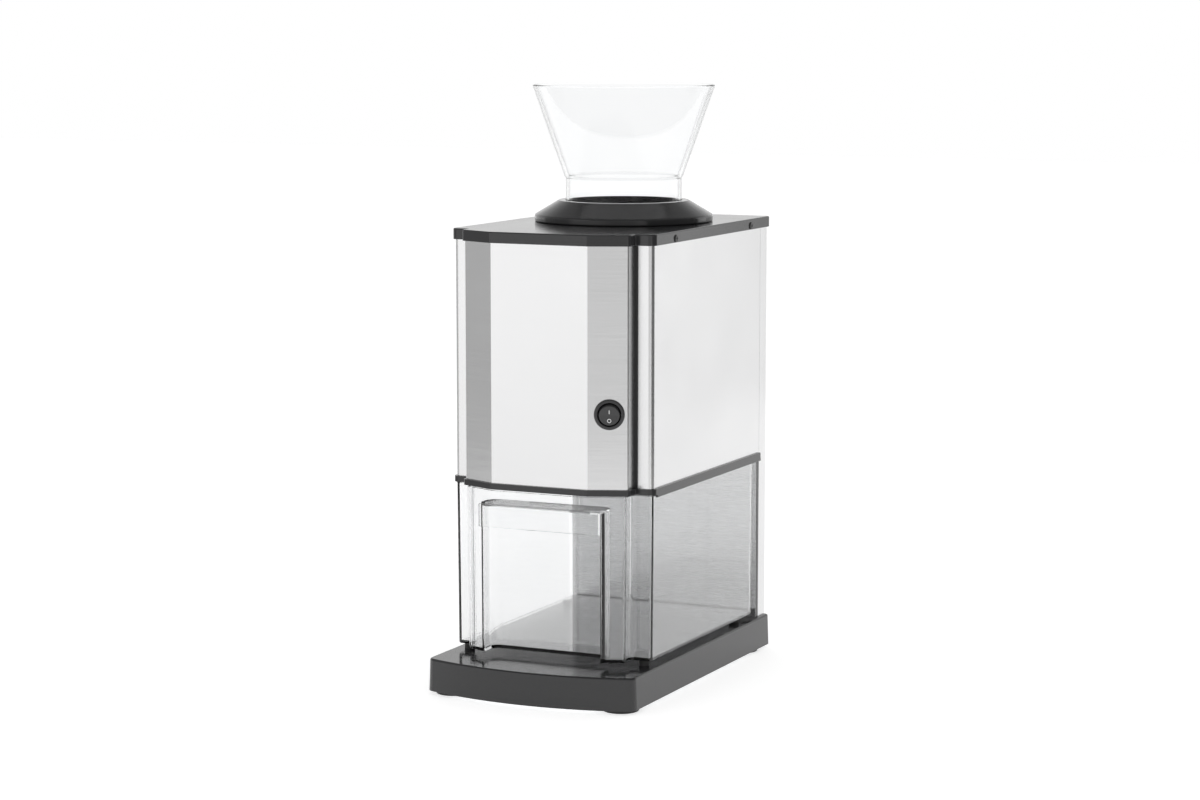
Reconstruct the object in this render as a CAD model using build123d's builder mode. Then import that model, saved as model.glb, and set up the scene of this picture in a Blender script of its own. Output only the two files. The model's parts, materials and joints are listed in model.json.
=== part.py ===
from build123d import *
import os
from math import acos, atan2, cos, degrees, pi, radians, sin, sqrt, tan

# Tabletop electric ice crusher, in millimetres.
# X is the width, Y runs from the front (-) to the back (+), Z is up from the table.
# The origin is the centre of the footprint, on the table.

# ---- heights of the stacked housings
BASE_BOTTOM_Z = 3.0
BASE_TOP_Z = 27.8
BIN_BOTTOM_Z = 31.9
BIN_TOP_Z = 157.4
RAIL_BOTTOM_Z = 156.4
FLOOR_BOTTOM_Z = 158.4
FLOOR_TOP_Z = 162.9
LID_BOTTOM_Z = 344.6
PANEL_TOP_Z = 350.0
LID_TOP_Z = 353.0
COLLAR_TOP_Z = 369.4
RIM_Z = 459.4

# ---- plan of the steel body
FACET_X = 40.0
FRONT_Y = -108.4
PANEL_X = 67.9
PANEL_Y = -96.8
COLUMN_X = 70.3
COLUMN_Y = -86.0
RETURN_Y = -78.0
BODY_X = 82.7
SEAM_Y = 125.5
REAR_Y = 140.6
REAR_CORNER = 1.5
SHEET = 0.8
TRIM_OVERHANG = 1.8
MIN_BEND = 0.3
BODY_CORNERS = [
    (FACET_X, FRONT_Y, 1.0),
    (PANEL_X, PANEL_Y, 1.8),
    (PANEL_X, COLUMN_Y, 0.6),
    (BODY_X, COLUMN_Y, 4.0),
    (BODY_X, REAR_Y, REAR_CORNER),
]
FACET_ANGLE = atan2(PANEL_Y - FRONT_Y, PANEL_X - FACET_X)

# ---- base
BASE_X = 86.6
BASE_FRONT_Y = -143.0
BASE_REAR_Y = 143.0
BASE_BOW_RADIUS = 250.0
BASE_FRONT_CORNER = 9.0
BASE_REAR_CORNER = 4.0
BASE_DRAFT = 2.0
BASE_WALL = 2.5
BASE_PLATE_THICKNESS = 2.0
FOOT_RADIUS = 13.75
FOOT_HEIGHT = 4.0
FOOT_X = 70.0
FOOT_FRONT_Y = -114.0
FOOT_REAR_Y = 120.0

# ---- clear parts
HOPPER_Y = 43.5
HOPPER_WALL = 2.2
NECK_RADIUS = 45.6
RIM_RADIUS = 71.6
SHOULDER_Z = 387.5
BIN_WALL = 2.3
BIN_DRAFT = 0.8

# ---- crushing chamber and drive
SHAFT_Z = 268.0
SHAFT_RADIUS = 6.0
CHAMBER_X = 40.0
CHAMBER_FRONT_Y = 0.0
CHAMBER_REAR_Y = 87.0
CHAMBER_WALL = 3.0
CHAMBER_BOTTOM_Z = 226.0
CHAMBER_TOP_Z = 345.0
THROAT_RADIUS = 40.0
PLATE = 3.0
FRONT_PLATE_Y = CHAMBER_FRONT_Y - CHAMBER_WALL - PLATE
REAR_PLATE_Y = CHAMBER_REAR_Y + CHAMBER_WALL
GEAR_PLATE_Y = -41.0
BLADE_COUNT = 4
BLADE_PITCH = 21.0
BLADE_THICKNESS = 4.0
BLADE_RADIUS = 34.0
FIT_GAP = 0.05

# ---- gears: a motor pinion drives the layshaft, which drives the crusher shaft
PRESSURE_ANGLE = radians(20)
ADDENDUM = 0.9
DEDENDUM = 1.2
TOOTH_SLACK = 0.16
OUTPUT_MODULE = 1.25
OUTPUT_PINION_TEETH = 16
OUTPUT_WHEEL_TEETH = 56
INPUT_MODULE = 0.8
INPUT_PINION_TEETH = 16
INPUT_WHEEL_TEETH = 60
OUTPUT_CENTRES = OUTPUT_MODULE * (OUTPUT_PINION_TEETH + OUTPUT_WHEEL_TEETH) / 2
INPUT_CENTRES = INPUT_MODULE * (INPUT_PINION_TEETH + INPUT_WHEEL_TEETH) / 2
LAYSHAFT_DIRECTION = radians(230)
LAYSHAFT_X = OUTPUT_CENTRES * cos(LAYSHAFT_DIRECTION)
LAYSHAFT_Z = SHAFT_Z + OUTPUT_CENTRES * sin(LAYSHAFT_DIRECTION)
LAYSHAFT_RADIUS = 4.0
MOTOR_Z = LAYSHAFT_Z - sqrt(INPUT_CENTRES**2 - LAYSHAFT_X**2)
MOTOR_DIRECTION = atan2(MOTOR_Z - LAYSHAFT_Z, -LAYSHAFT_X)
MOTOR_SHAFT_RADIUS = 3.0
MOTOR_RADIUS = 28.0
MOTOR_FRONT_Y = -98.0

# ---- switch
SWITCH_ALONG = 16.2
SWITCH_Z = 219.7
BEZEL_RADIUS = 11.5
ROCKER_TILT = 8.0

os.makedirs("parts", exist_ok=True)


def across(y):
    """Plane that faces the front at the depth y; its local axes are X and Z."""
    return Plane.XZ.offset(-y)


def grown(corners, amount):
    """Right-hand corners (x, y, radius) of a symmetric outline, moved outwards by the amount."""
    points = [Vector(x, y) for x, y, _ in corners]
    chain = [Vector(-points[0].X, points[0].Y), *points, Vector(-points[-1].X, points[-1].Y)]
    moved = []
    for before, here, after, (_, _, radius) in zip(chain, points, chain[2:], corners):
        run_in = (here - before).normalized()
        run_out = (after - here).normalized()
        normal_in = Vector(run_in.Y, -run_in.X)
        normal_out = Vector(run_out.Y, -run_out.X)
        shift = (normal_in + normal_out) * (amount / (1 + normal_in.dot(normal_out)))
        convex = run_in.cross(run_out).Z > 0
        bend = radius + amount if convex else radius - amount
        moved.append((here.X + shift.X, here.Y + shift.Y, max(bend, MIN_BEND)))
    return moved


def mirrored_face(corners):
    """Closed face through the right-hand corners and their mirror images."""
    loop = corners + [(-x, y, radius) for x, y, radius in reversed(corners)]
    with BuildSketch() as outline:
        with BuildLine():
            FilletPolyline(*[(x, y) for x, y, _ in loop], radius=[r for _, _, r in loop], close=True)
        make_face()
    return outline.sketch


def sheet_section(points, radii, thickness, side):
    """Section of bent sheet metal: the outer line of the sheet, thickened to one side."""
    with BuildSketch() as section:
        with BuildLine():
            FilletPolyline(*points, radius=radii)
            offset(amount=thickness, side=side, mode=Mode.ADD)
        make_face()
    return section.sketch


def gear_face(teeth, module, tooth_direction):
    """Spur gear face with involute flanks and one tooth centred on the given direction."""
    pitch_radius = module * teeth / 2
    base_radius = pitch_radius * cos(PRESSURE_ANGLE)
    root_radius = pitch_radius - DEDENDUM * module
    tip_radius = pitch_radius + ADDENDUM * module
    start_radius = max(base_radius, root_radius)
    half_tooth = pi / (2 * teeth) - TOOTH_SLACK / (2 * pitch_radius)
    flank_steps = 4
    flank = [(root_radius, half_tooth + tan(PRESSURE_ANGLE) - PRESSURE_ANGLE)]
    for step in range(flank_steps):
        radius = start_radius + (tip_radius - start_radius) * step / (flank_steps - 1)
        roll = acos(base_radius / radius)
        flank.append((radius, half_tooth + tan(PRESSURE_ANGLE) - PRESSURE_ANGLE - tan(roll) + roll))
    points = []
    for tooth in range(teeth):
        centre = tooth_direction + 2 * pi * tooth / teeth
        rising = [(radius, centre - angle) for radius, angle in flank]
        falling = [(radius, centre + angle) for radius, angle in reversed(flank)]
        points += [(radius * cos(angle), radius * sin(angle)) for radius, angle in rising + falling]
    with BuildSketch() as face:
        with BuildLine():
            Polyline(*points, close=True)
        make_face()
    return face.sketch


# ================================================================ base
def base_corners(inset):
    """Half width, front corner and rear edge of the base, moved inwards by the inset."""
    bow_drop = BASE_BOW_RADIUS - sqrt(BASE_BOW_RADIUS**2 - (BASE_X - inset) ** 2)
    return BASE_X - inset, BASE_FRONT_Y + inset + bow_drop, BASE_REAR_Y - inset


def base_face(inset):
    """Outline of the base, moved inwards by the inset."""
    side_x, corner_y, rear_y = base_corners(inset)
    with BuildSketch() as outline:
        with BuildLine():
            ThreePointArc((-side_x, corner_y), (0, BASE_FRONT_Y + inset), (side_x, corner_y))
            Polyline((side_x, corner_y), (side_x, rear_y), (-side_x, rear_y), (-side_x, corner_y))
        make_face()
        front = outline.vertices().group_by(Axis.Y)[0]
        fillet(front, max(BASE_FRONT_CORNER - inset, 1))
        rear = outline.vertices().group_by(Axis.Y)[-1]
        fillet(rear, max(BASE_REAR_CORNER - inset, 1))
    return outline.sketch


BASE_OUTER = base_face(0)
BASE_INNER = base_face(BASE_WALL)
BASE_PLATE_FACE = base_face(BASE_WALL + 0.5)
FOOT_SPOTS = [(x, y) for x in (-FOOT_X, FOOT_X) for y in (FOOT_FRONT_Y, FOOT_REAR_Y)]
PLATE_BOTTOM_Z = FOOT_HEIGHT
PLATE_TOP_Z = PLATE_BOTTOM_Z + BASE_PLATE_THICKNESS
BOSS_RADIUS = 5.0
SCREW_RADIUS = 2.0
FOOT_SCREW_TOP_Z = 16.0
STIFFENER_DEPTH = 9.0

with BuildPart() as base_tray:
    with BuildSketch(Plane.XY.offset(BASE_BOTTOM_Z)):
        add(BASE_OUTER)
    extrude(amount=BASE_TOP_Z - BASE_BOTTOM_Z, taper=BASE_DRAFT)
    fillet(base_tray.faces().sort_by(Axis.Z)[-1].edges(), 1.5)
    with BuildSketch(Plane.XY.offset(BASE_BOTTOM_Z)):
        add(BASE_INNER)
    extrude(amount=BASE_TOP_Z - BASE_WALL - BASE_BOTTOM_Z, taper=BASE_DRAFT, mode=Mode.SUBTRACT)
    with BuildSketch(Plane.XY.offset(PLATE_TOP_Z)):
        with Locations(*FOOT_SPOTS):
            Circle(BOSS_RADIUS)
    extrude(amount=BASE_TOP_Z - BASE_WALL - PLATE_TOP_Z)
    with BuildSketch(Plane.XY.offset(BASE_TOP_Z - BASE_WALL - STIFFENER_DEPTH)):
        with GridLocations(0, 60, 1, 4):
            Rectangle(2 * (BASE_X - BASE_WALL) - 2, 2)
    extrude(amount=STIFFENER_DEPTH)
    with BuildSketch(Plane.XY.offset(PLATE_TOP_Z)):
        with Locations(*FOOT_SPOTS):
            Circle(SCREW_RADIUS + FIT_GAP)
    extrude(amount=FOOT_SCREW_TOP_Z + 1 - PLATE_TOP_Z, mode=Mode.SUBTRACT)
base_tray.part.label = "base_tray"
export_step(base_tray.part, "parts/base_tray.step")

with BuildPart() as base_plate:
    with BuildSketch(Plane.XY.offset(PLATE_BOTTOM_Z)):
        add(BASE_PLATE_FACE)
        with Locations(*FOOT_SPOTS):
            Circle(SCREW_RADIUS + 0.2, mode=Mode.SUBTRACT)
        with GridLocations(14, 0, 7, 1):
            SlotOverall(40, 4, rotation=90, mode=Mode.SUBTRACT)
    extrude(amount=BASE_PLATE_THICKNESS)
base_plate.part.label = "base_plate"
export_step(base_plate.part, "parts/base_plate.step")

FOOT_RECESS_RADIUS = 5.5
FOOT_RECESS_DEPTH = 2.4
with BuildPart() as feet:
    with Locations(*FOOT_SPOTS):
        Cylinder(FOOT_RADIUS, FOOT_HEIGHT, align=(Align.CENTER, Align.CENTER, Align.MIN))
    fillet(feet.faces().sort_by(Axis.Z)[:4].edges(), 0.8)
    with Locations(*FOOT_SPOTS):
        Cylinder(
            SCREW_RADIUS + 0.2,
            FOOT_HEIGHT,
            align=(Align.CENTER, Align.CENTER, Align.MIN),
            mode=Mode.SUBTRACT,
        )
        Cylinder(
            FOOT_RECESS_RADIUS,
            FOOT_RECESS_DEPTH,
            align=(Align.CENTER, Align.CENTER, Align.MIN),
            mode=Mode.SUBTRACT,
        )
feet.part.label = "feet"
export_step(feet.part, "parts/feet.step")

with BuildPart() as foot_screws:
    with BuildSketch(Plane.XY.offset(FOOT_RECESS_DEPTH)):
        with Locations(*FOOT_SPOTS):
            Circle(4.2)
    extrude(amount=-1.6)
    with BuildSketch(Plane.XY.offset(FOOT_RECESS_DEPTH - 1.6)):
        with Locations(*FOOT_SPOTS):
            Rectangle(4.6, 0.9)
            Rectangle(0.9, 4.6)
    extrude(amount=0.8, mode=Mode.SUBTRACT)
    with BuildSketch(Plane.XY.offset(FOOT_RECESS_DEPTH)):
        with Locations(*FOOT_SPOTS):
            Circle(SCREW_RADIUS)
    extrude(amount=FOOT_SCREW_TOP_Z - FOOT_RECESS_DEPTH)
foot_screws.part.label = "foot_screws"
export_step(foot_screws.part, "parts/foot_screws.step")

PAD_FRONT_Y = -80.0
PAD_REAR_Y = 96.0
PAD_X = 74.0
with BuildPart() as bin_pads:
    with BuildSketch(Plane.XY.offset(BASE_TOP_Z)):
        with Locations(*[(x, y) for x in (-PAD_X, PAD_X) for y in (PAD_FRONT_Y, PAD_REAR_Y)]):
            Circle(4)
    extrude(amount=BIN_BOTTOM_Z - BASE_TOP_Z - 0.1)
bin_pads.part.label = "bin_pads"
export_step(bin_pads.part, "parts/bin_pads.step")

# ================================================================ rear spine of the machine
POST_INNER_X = 76.0
POST_FRONT_Y = 121.0
SPINE_X = 60.0
SPINE_Y = SEAM_Y + 0.5
SPINE_FLANGE_X = 74.0
SPINE_REAR_Y = REAR_Y - 2.4
SPINE_SHEET = 1.5
SPINE_TOP_Z = 342.0
COVER_TOP_Z = PANEL_TOP_Z
VENT_ROWS = 9
VENT_PITCH = 8.0
VENT_Z = 240.0
GLAND_X = 45.0
GLAND_Z = 52.0
GLAND_HOLE_RADIUS = 7.0
LEAD_HIGH_Z = 300.0
REAR_SCREW_SPOTS = [(x, z) for x in (-70, 70) for z in (45, 150, 250, 335)]
REAR_SCREW_RADIUS = 1.8
REAR_SCREW_HEAD_RADIUS = 3.4
REAR_SCREW_HEAD = 2.2
REAR_SCREW_LENGTH = 8.0
RECESS_ARM = 3.6
RECESS_SLOT = 0.8

SPINE_SECTION = sheet_section(
    [
        (-SPINE_FLANGE_X, SPINE_REAR_Y),
        (-SPINE_X, SPINE_REAR_Y),
        (-SPINE_X, SPINE_Y),
        (SPINE_X, SPINE_Y),
        (SPINE_X, SPINE_REAR_Y),
        (SPINE_FLANGE_X, SPINE_REAR_Y),
    ],
    [2.0, 2.0, 2.0, 2.0],
    SPINE_SHEET,
    Side.LEFT,
)
with BuildPart() as spine_channel:
    with BuildSketch(Plane.XY.offset(BASE_TOP_Z)):
        add(SPINE_SECTION)
    extrude(amount=SPINE_TOP_Z - BASE_TOP_Z)
    with BuildSketch(across(SPINE_Y - 1)):
        with Locations((0, 250)):
            SlotOverall(80, 30, rotation=90)
        with Locations((0, 95)):
            SlotOverall(60, 30, rotation=90)
        with Locations((GLAND_X, LEAD_HIGH_Z)):
            Circle(6)
    extrude(amount=-5, mode=Mode.SUBTRACT)
    with BuildSketch(across(REAR_Y)):
        with Locations(*REAR_SCREW_SPOTS):
            Circle(REAR_SCREW_RADIUS + 0.2)
    extrude(amount=4, mode=Mode.SUBTRACT)
spine_channel.part.label = "spine_channel"
export_step(spine_channel.part, "parts/spine_channel.step")

WALL_X = BODY_X - 0.4
WALL_NOTCH = 2.0
POST_FACE_Y = POST_FRONT_Y + SHEET + 0.1
with BuildPart() as bay_rear_wall:
    with BuildSketch(across(POST_FRONT_Y)):
        Polygon(
            (-WALL_X, BASE_TOP_Z),
            (WALL_X, BASE_TOP_Z),
            (WALL_X, RAIL_BOTTOM_Z),
            (WALL_X - WALL_NOTCH, RAIL_BOTTOM_Z),
            (WALL_X - WALL_NOTCH, FLOOR_BOTTOM_Z),
            (WALL_NOTCH - WALL_X, FLOOR_BOTTOM_Z),
            (WALL_NOTCH - WALL_X, RAIL_BOTTOM_Z),
            (-WALL_X, RAIL_BOTTOM_Z),
            align=None,
        )
    extrude(amount=-SHEET)
bay_rear_wall.part.label = "bay_rear_wall"
export_step(bay_rear_wall.part, "parts/bay_rear_wall.step")

with BuildPart() as rear_post_right:
    with BuildSketch(Plane.XY.offset(BASE_TOP_Z)):
        with BuildLine():
            Polyline(
                (POST_INNER_X, POST_FACE_Y),
                (BODY_X - 0.2, POST_FACE_Y),
                (BODY_X - 0.2, SEAM_Y - 0.1),
                (BODY_X - SHEET - 0.2, SEAM_Y - 0.1),
                (BODY_X - SHEET - 0.2, REAR_Y - 4),
                (POST_INNER_X, REAR_Y - 4),
                close=True,
            )
        make_face()
    extrude(amount=RAIL_BOTTOM_Z - BASE_TOP_Z)
rear_post_right.part.label = "rear_post_right"
export_step(rear_post_right.part, "parts/rear_post_right.step")

with BuildPart() as rear_post_left:
    mirror(rear_post_right.part, about=Plane.YZ)
rear_post_left.part.label = "rear_post_left"
export_step(rear_post_left.part, "parts/rear_post_left.step")

COVER_SECTION = sheet_section(
    [(-BODY_X, SEAM_Y), (-BODY_X, REAR_Y), (BODY_X, REAR_Y), (BODY_X, SEAM_Y)],
    [REAR_CORNER, REAR_CORNER],
    SHEET,
    Side.RIGHT,
)
with BuildPart() as rear_cover:
    with BuildSketch(Plane.XY.offset(BASE_TOP_Z)):
        add(COVER_SECTION)
    extrude(amount=COVER_TOP_Z - BASE_TOP_Z)
    with BuildSketch(across(REAR_Y + 1)):
        with Locations(*REAR_SCREW_SPOTS):
            Circle(REAR_SCREW_RADIUS + 0.2)
        with Locations((GLAND_X, GLAND_Z)):
            Circle(GLAND_HOLE_RADIUS)
        with Locations((0, VENT_Z)):
            with GridLocations(52, VENT_PITCH, 2, VENT_ROWS):
                SlotOverall(40, 3.2)
    extrude(amount=4, mode=Mode.SUBTRACT)
rear_cover.part.label = "rear_cover"
export_step(rear_cover.part, "parts/rear_cover.step")

with BuildPart() as rear_cover_screws:
    with BuildSketch(across(REAR_Y)):
        with Locations(*REAR_SCREW_SPOTS):
            Circle(REAR_SCREW_HEAD_RADIUS)
    extrude(amount=-REAR_SCREW_HEAD)
    fillet(rear_cover_screws.faces().sort_by(Axis.Y)[-len(REAR_SCREW_SPOTS) :].edges(), 1.2)
    with BuildSketch(across(REAR_Y + REAR_SCREW_HEAD)):
        with Locations(*REAR_SCREW_SPOTS):
            Rectangle(RECESS_ARM, RECESS_SLOT)
            Rectangle(RECESS_SLOT, RECESS_ARM)
    extrude(amount=1.2, mode=Mode.SUBTRACT)
    with BuildSketch(across(REAR_Y)):
        with Locations(*REAR_SCREW_SPOTS):
            Circle(REAR_SCREW_RADIUS)
    extrude(amount=REAR_SCREW_LENGTH)
rear_cover_screws.part.label = "rear_cover_screws"
export_step(rear_cover_screws.part, "parts/rear_cover_screws.step")

CORD_RADIUS = 3.5
GLAND_LENGTH = 3.0
GLAND_PROUD = 2.3
GLAND_FLANGE_RADIUS = 9.5
with BuildPart() as cable_gland:
    with BuildSketch(across(REAR_Y)):
        with Locations((GLAND_X, GLAND_Z)):
            Circle(GLAND_FLANGE_RADIUS)
    extrude(amount=-GLAND_PROUD)
    fillet(cable_gland.faces().sort_by(Axis.Y)[-1].edges(), 1.2)
    with BuildSketch(across(REAR_Y)):
        with Locations((GLAND_X, GLAND_Z)):
            Circle(GLAND_HOLE_RADIUS - FIT_GAP)
    extrude(amount=GLAND_LENGTH)
    with BuildSketch(across(REAR_Y + GLAND_PROUD)):
        with Locations((GLAND_X, GLAND_Z)):
            Circle(CORD_RADIUS)
    extrude(amount=GLAND_LENGTH + GLAND_PROUD, mode=Mode.SUBTRACT)
cable_gland.part.label = "cable_gland"
export_step(cable_gland.part, "parts/cable_gland.step")

# ================================================================ upper body
TRIM_CORNERS = grown(BODY_CORNERS, TRIM_OVERHANG)
FLOOR_CORNERS = TRIM_CORNERS[:-1] + [(TRIM_CORNERS[-1][0], SEAM_Y - 0.1, 0.8)]
RAIL_INNER_X = BODY_X + 0.2
RAIL_FRONT_Y = COLUMN_Y + 6
UPSTAND = 8.0
UPSTAND_WALL = 2.0
CHUTE_OUT_X = 33.0
CHUTE_OUT_FRONT_Y = 8.0
CHUTE_OUT_REAR_Y = 79.0
CHUTE_OUT_Y = (CHUTE_OUT_FRONT_Y + CHUTE_OUT_REAR_Y) / 2
CHUTE_OUT_DEPTH = CHUTE_OUT_REAR_Y - CHUTE_OUT_FRONT_Y

with BuildPart() as body_floor:
    with BuildSketch(Plane.XY.offset(FLOOR_BOTTOM_Z)):
        add(mirrored_face(FLOOR_CORNERS))
    extrude(amount=FLOOR_TOP_Z - FLOOR_BOTTOM_Z)
    with BuildSketch(Plane.XY.offset(FLOOR_TOP_Z)):
        add(mirrored_face(grown(FLOOR_CORNERS, -TRIM_OVERHANG - SHEET - 0.2)))
        add(
            mirrored_face(grown(FLOOR_CORNERS, -TRIM_OVERHANG - SHEET - 0.2 - UPSTAND_WALL)),
            mode=Mode.SUBTRACT,
        )
        with Locations(*[(x, COLUMN_Y + 5) for x in (-COLUMN_X, COLUMN_X)]):
            Rectangle(12, 26, mode=Mode.SUBTRACT)
        with Locations((0, SEAM_Y - 5)):
            Rectangle(2 * BODY_X, 14, mode=Mode.SUBTRACT)
    extrude(amount=UPSTAND)
    with BuildSketch(Plane.XY.offset(RAIL_BOTTOM_Z)):
        rail_x = (RAIL_INNER_X + TRIM_CORNERS[-1][0]) / 2
        rail_y = (RAIL_FRONT_Y + SEAM_Y - 0.1) / 2
        with Locations((-rail_x, rail_y), (rail_x, rail_y)):
            Rectangle(TRIM_CORNERS[-1][0] - RAIL_INNER_X, SEAM_Y - 0.1 - RAIL_FRONT_Y)
    extrude(amount=FLOOR_BOTTOM_Z - RAIL_BOTTOM_Z)
    with BuildSketch(Plane.XY.offset(FLOOR_BOTTOM_Z)):
        with Locations((0, CHUTE_OUT_Y)):
            Rectangle(2 * CHUTE_OUT_X + 0.4, CHUTE_OUT_DEPTH + 0.4)
    extrude(amount=FLOOR_TOP_Z - FLOOR_BOTTOM_Z, mode=Mode.SUBTRACT)
body_floor.part.label = "body_floor"
export_step(body_floor.part, "parts/body_floor.step")

# Switch plane: centred on the right-hand facet, local X runs along the facet
SWITCH_X = FACET_X + SWITCH_ALONG * cos(FACET_ANGLE)
SWITCH_Y = FRONT_Y + SWITCH_ALONG * sin(FACET_ANGLE)
SWITCH_PLANE = Plane(
    origin=(SWITCH_X, SWITCH_Y, SWITCH_Z),
    x_dir=(cos(FACET_ANGLE), sin(FACET_ANGLE), 0),
    z_dir=(sin(FACET_ANGLE), -cos(FACET_ANGLE), 0),
)
SWITCH_HOLE_RADIUS = 10.2

PANEL_LINE = [
    (-PANEL_X, RETURN_Y),
    (-PANEL_X, PANEL_Y),
    (-FACET_X, FRONT_Y),
    (FACET_X, FRONT_Y),
    (PANEL_X, PANEL_Y),
    (PANEL_X, RETURN_Y),
]
with BuildPart() as front_panel:
    with BuildSketch(Plane.XY.offset(FLOOR_TOP_Z)):
        add(sheet_section(PANEL_LINE, [1.8, 1.0, 1.0, 1.8], SHEET, Side.LEFT))
    extrude(amount=PANEL_TOP_Z - FLOOR_TOP_Z)
    with BuildSketch(SWITCH_PLANE.offset(2)):
        Circle(SWITCH_HOLE_RADIUS + 0.15)
    extrude(amount=-6, mode=Mode.SUBTRACT)
front_panel.part.label = "front_panel"
export_step(front_panel.part, "parts/front_panel.step")

LID_SCREW_SPOTS = [(-47.3, 347.6), (100.9, 347.6)]
LID_SCREW_RADIUS = 1.7
SIDE_LINE = [(COLUMN_X, RETURN_Y), (COLUMN_X, COLUMN_Y), (BODY_X, COLUMN_Y), (BODY_X, SEAM_Y - 0.2)]
with BuildPart() as side_panel_right:
    with BuildSketch(Plane.XY.offset(FLOOR_TOP_Z)):
        add(sheet_section(SIDE_LINE, [1.2, 4.0], SHEET, Side.LEFT))
    extrude(amount=PANEL_TOP_Z - FLOOR_TOP_Z)
    with BuildSketch(Plane.YZ.offset(BODY_X - 3)):
        with Locations(*LID_SCREW_SPOTS):
            Circle(LID_SCREW_RADIUS + 0.2)
    extrude(amount=6, mode=Mode.SUBTRACT)
side_panel_right.part.label = "side_panel_right"
export_step(side_panel_right.part, "parts/side_panel_right.step")

with BuildPart() as side_panel_left:
    mirror(side_panel_right.part, about=Plane.YZ)
side_panel_left.part.label = "side_panel_left"
export_step(side_panel_left.part, "parts/side_panel_left.step")

# Dark extrusion that fills each groove and hooks behind both sheet edges
GROOVE_GAP = 0.1
GROOVE_STEM_Y = COLUMN_Y + 1.6
with BuildPart() as groove_trim_right:
    with BuildSketch(Plane.XY.offset(FLOOR_TOP_Z)):
        with BuildLine():
            Polyline(
                (PANEL_X + GROOVE_GAP, GROOVE_STEM_Y),
                (COLUMN_X - GROOVE_GAP, GROOVE_STEM_Y),
                (COLUMN_X - GROOVE_GAP, RETURN_Y + GROOVE_GAP),
                (COLUMN_X + 4, RETURN_Y + GROOVE_GAP),
                (COLUMN_X + 4, RETURN_Y + 2),
                (PANEL_X - 4, RETURN_Y + 2),
                (PANEL_X - 4, RETURN_Y + GROOVE_GAP),
                (PANEL_X + GROOVE_GAP, RETURN_Y + GROOVE_GAP),
                close=True,
            )
        make_face()
    extrude(amount=PANEL_TOP_Z - FLOOR_TOP_Z)
groove_trim_right.part.label = "groove_trim_right"
export_step(groove_trim_right.part, "parts/groove_trim_right.step")

with BuildPart() as groove_trim_left:
    mirror(groove_trim_right.part, about=Plane.YZ)
groove_trim_left.part.label = "groove_trim_left"
export_step(groove_trim_left.part, "parts/groove_trim_left.step")

# ================================================================ lid and collar
SPIGOT_RADIUS = 48.0
LID_PLATE = 2.6
LID_EDGE_RADIUS = 1.0
COLLAR_SCREW_RING = 60.0
COLLAR_SCREW_RADIUS = 1.5
with BuildPart() as lid:
    with BuildSketch(Plane.XY.offset(LID_BOTTOM_Z)):
        add(mirrored_face(TRIM_CORNERS))
    extrude(amount=LID_TOP_Z - LID_BOTTOM_Z)
    fillet(lid.faces().sort_by(Axis.Z)[-1].edges(), LID_EDGE_RADIUS)
    with BuildSketch(Plane.XY.offset(LID_BOTTOM_Z)):
        add(mirrored_face(grown(BODY_CORNERS, 0.15)))
    extrude(amount=LID_TOP_Z - LID_PLATE - LID_BOTTOM_Z, mode=Mode.SUBTRACT)
    with BuildSketch(Plane.XY.offset(LID_TOP_Z)):
        with Locations((0, HOPPER_Y)):
            Circle(SPIGOT_RADIUS + 0.2)
            with PolarLocations(COLLAR_SCREW_RING, 4, start_angle=45):
                Circle(COLLAR_SCREW_RADIUS + 0.2)
    extrude(amount=-LID_PLATE, mode=Mode.SUBTRACT)
    with BuildSketch(Plane.YZ.offset(-BODY_X - 5)):
        with Locations(*LID_SCREW_SPOTS):
            Circle(LID_SCREW_RADIUS + 0.2)
    extrude(amount=2 * BODY_X + 10, mode=Mode.SUBTRACT)
lid.part.label = "lid"
export_step(lid.part, "parts/lid.step")

LID_SKIN_X = BODY_X + TRIM_OVERHANG
with BuildPart() as lid_screws:
    with BuildSketch(Plane.YZ.offset(LID_SKIN_X)):
        with Locations(*LID_SCREW_SPOTS):
            Circle(2.9)
    extrude(amount=0.9)
    fillet(lid_screws.faces().sort_by(Axis.X)[-2:].edges(), 0.6)
    with BuildSketch(Plane.YZ.offset(LID_SKIN_X + 0.9)):
        with Locations(*LID_SCREW_SPOTS):
            Rectangle(3.2, RECESS_SLOT)
            Rectangle(RECESS_SLOT, 3.2)
    extrude(amount=-0.8, mode=Mode.SUBTRACT)
    with BuildSketch(Plane.YZ.offset(LID_SKIN_X)):
        with Locations(*LID_SCREW_SPOTS):
            Circle(LID_SCREW_RADIUS)
    extrude(amount=-6)
    mirror(about=Plane.YZ)
lid_screws.part.label = "lid_screws"
export_step(lid_screws.part, "parts/lid_screws.step")

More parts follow.
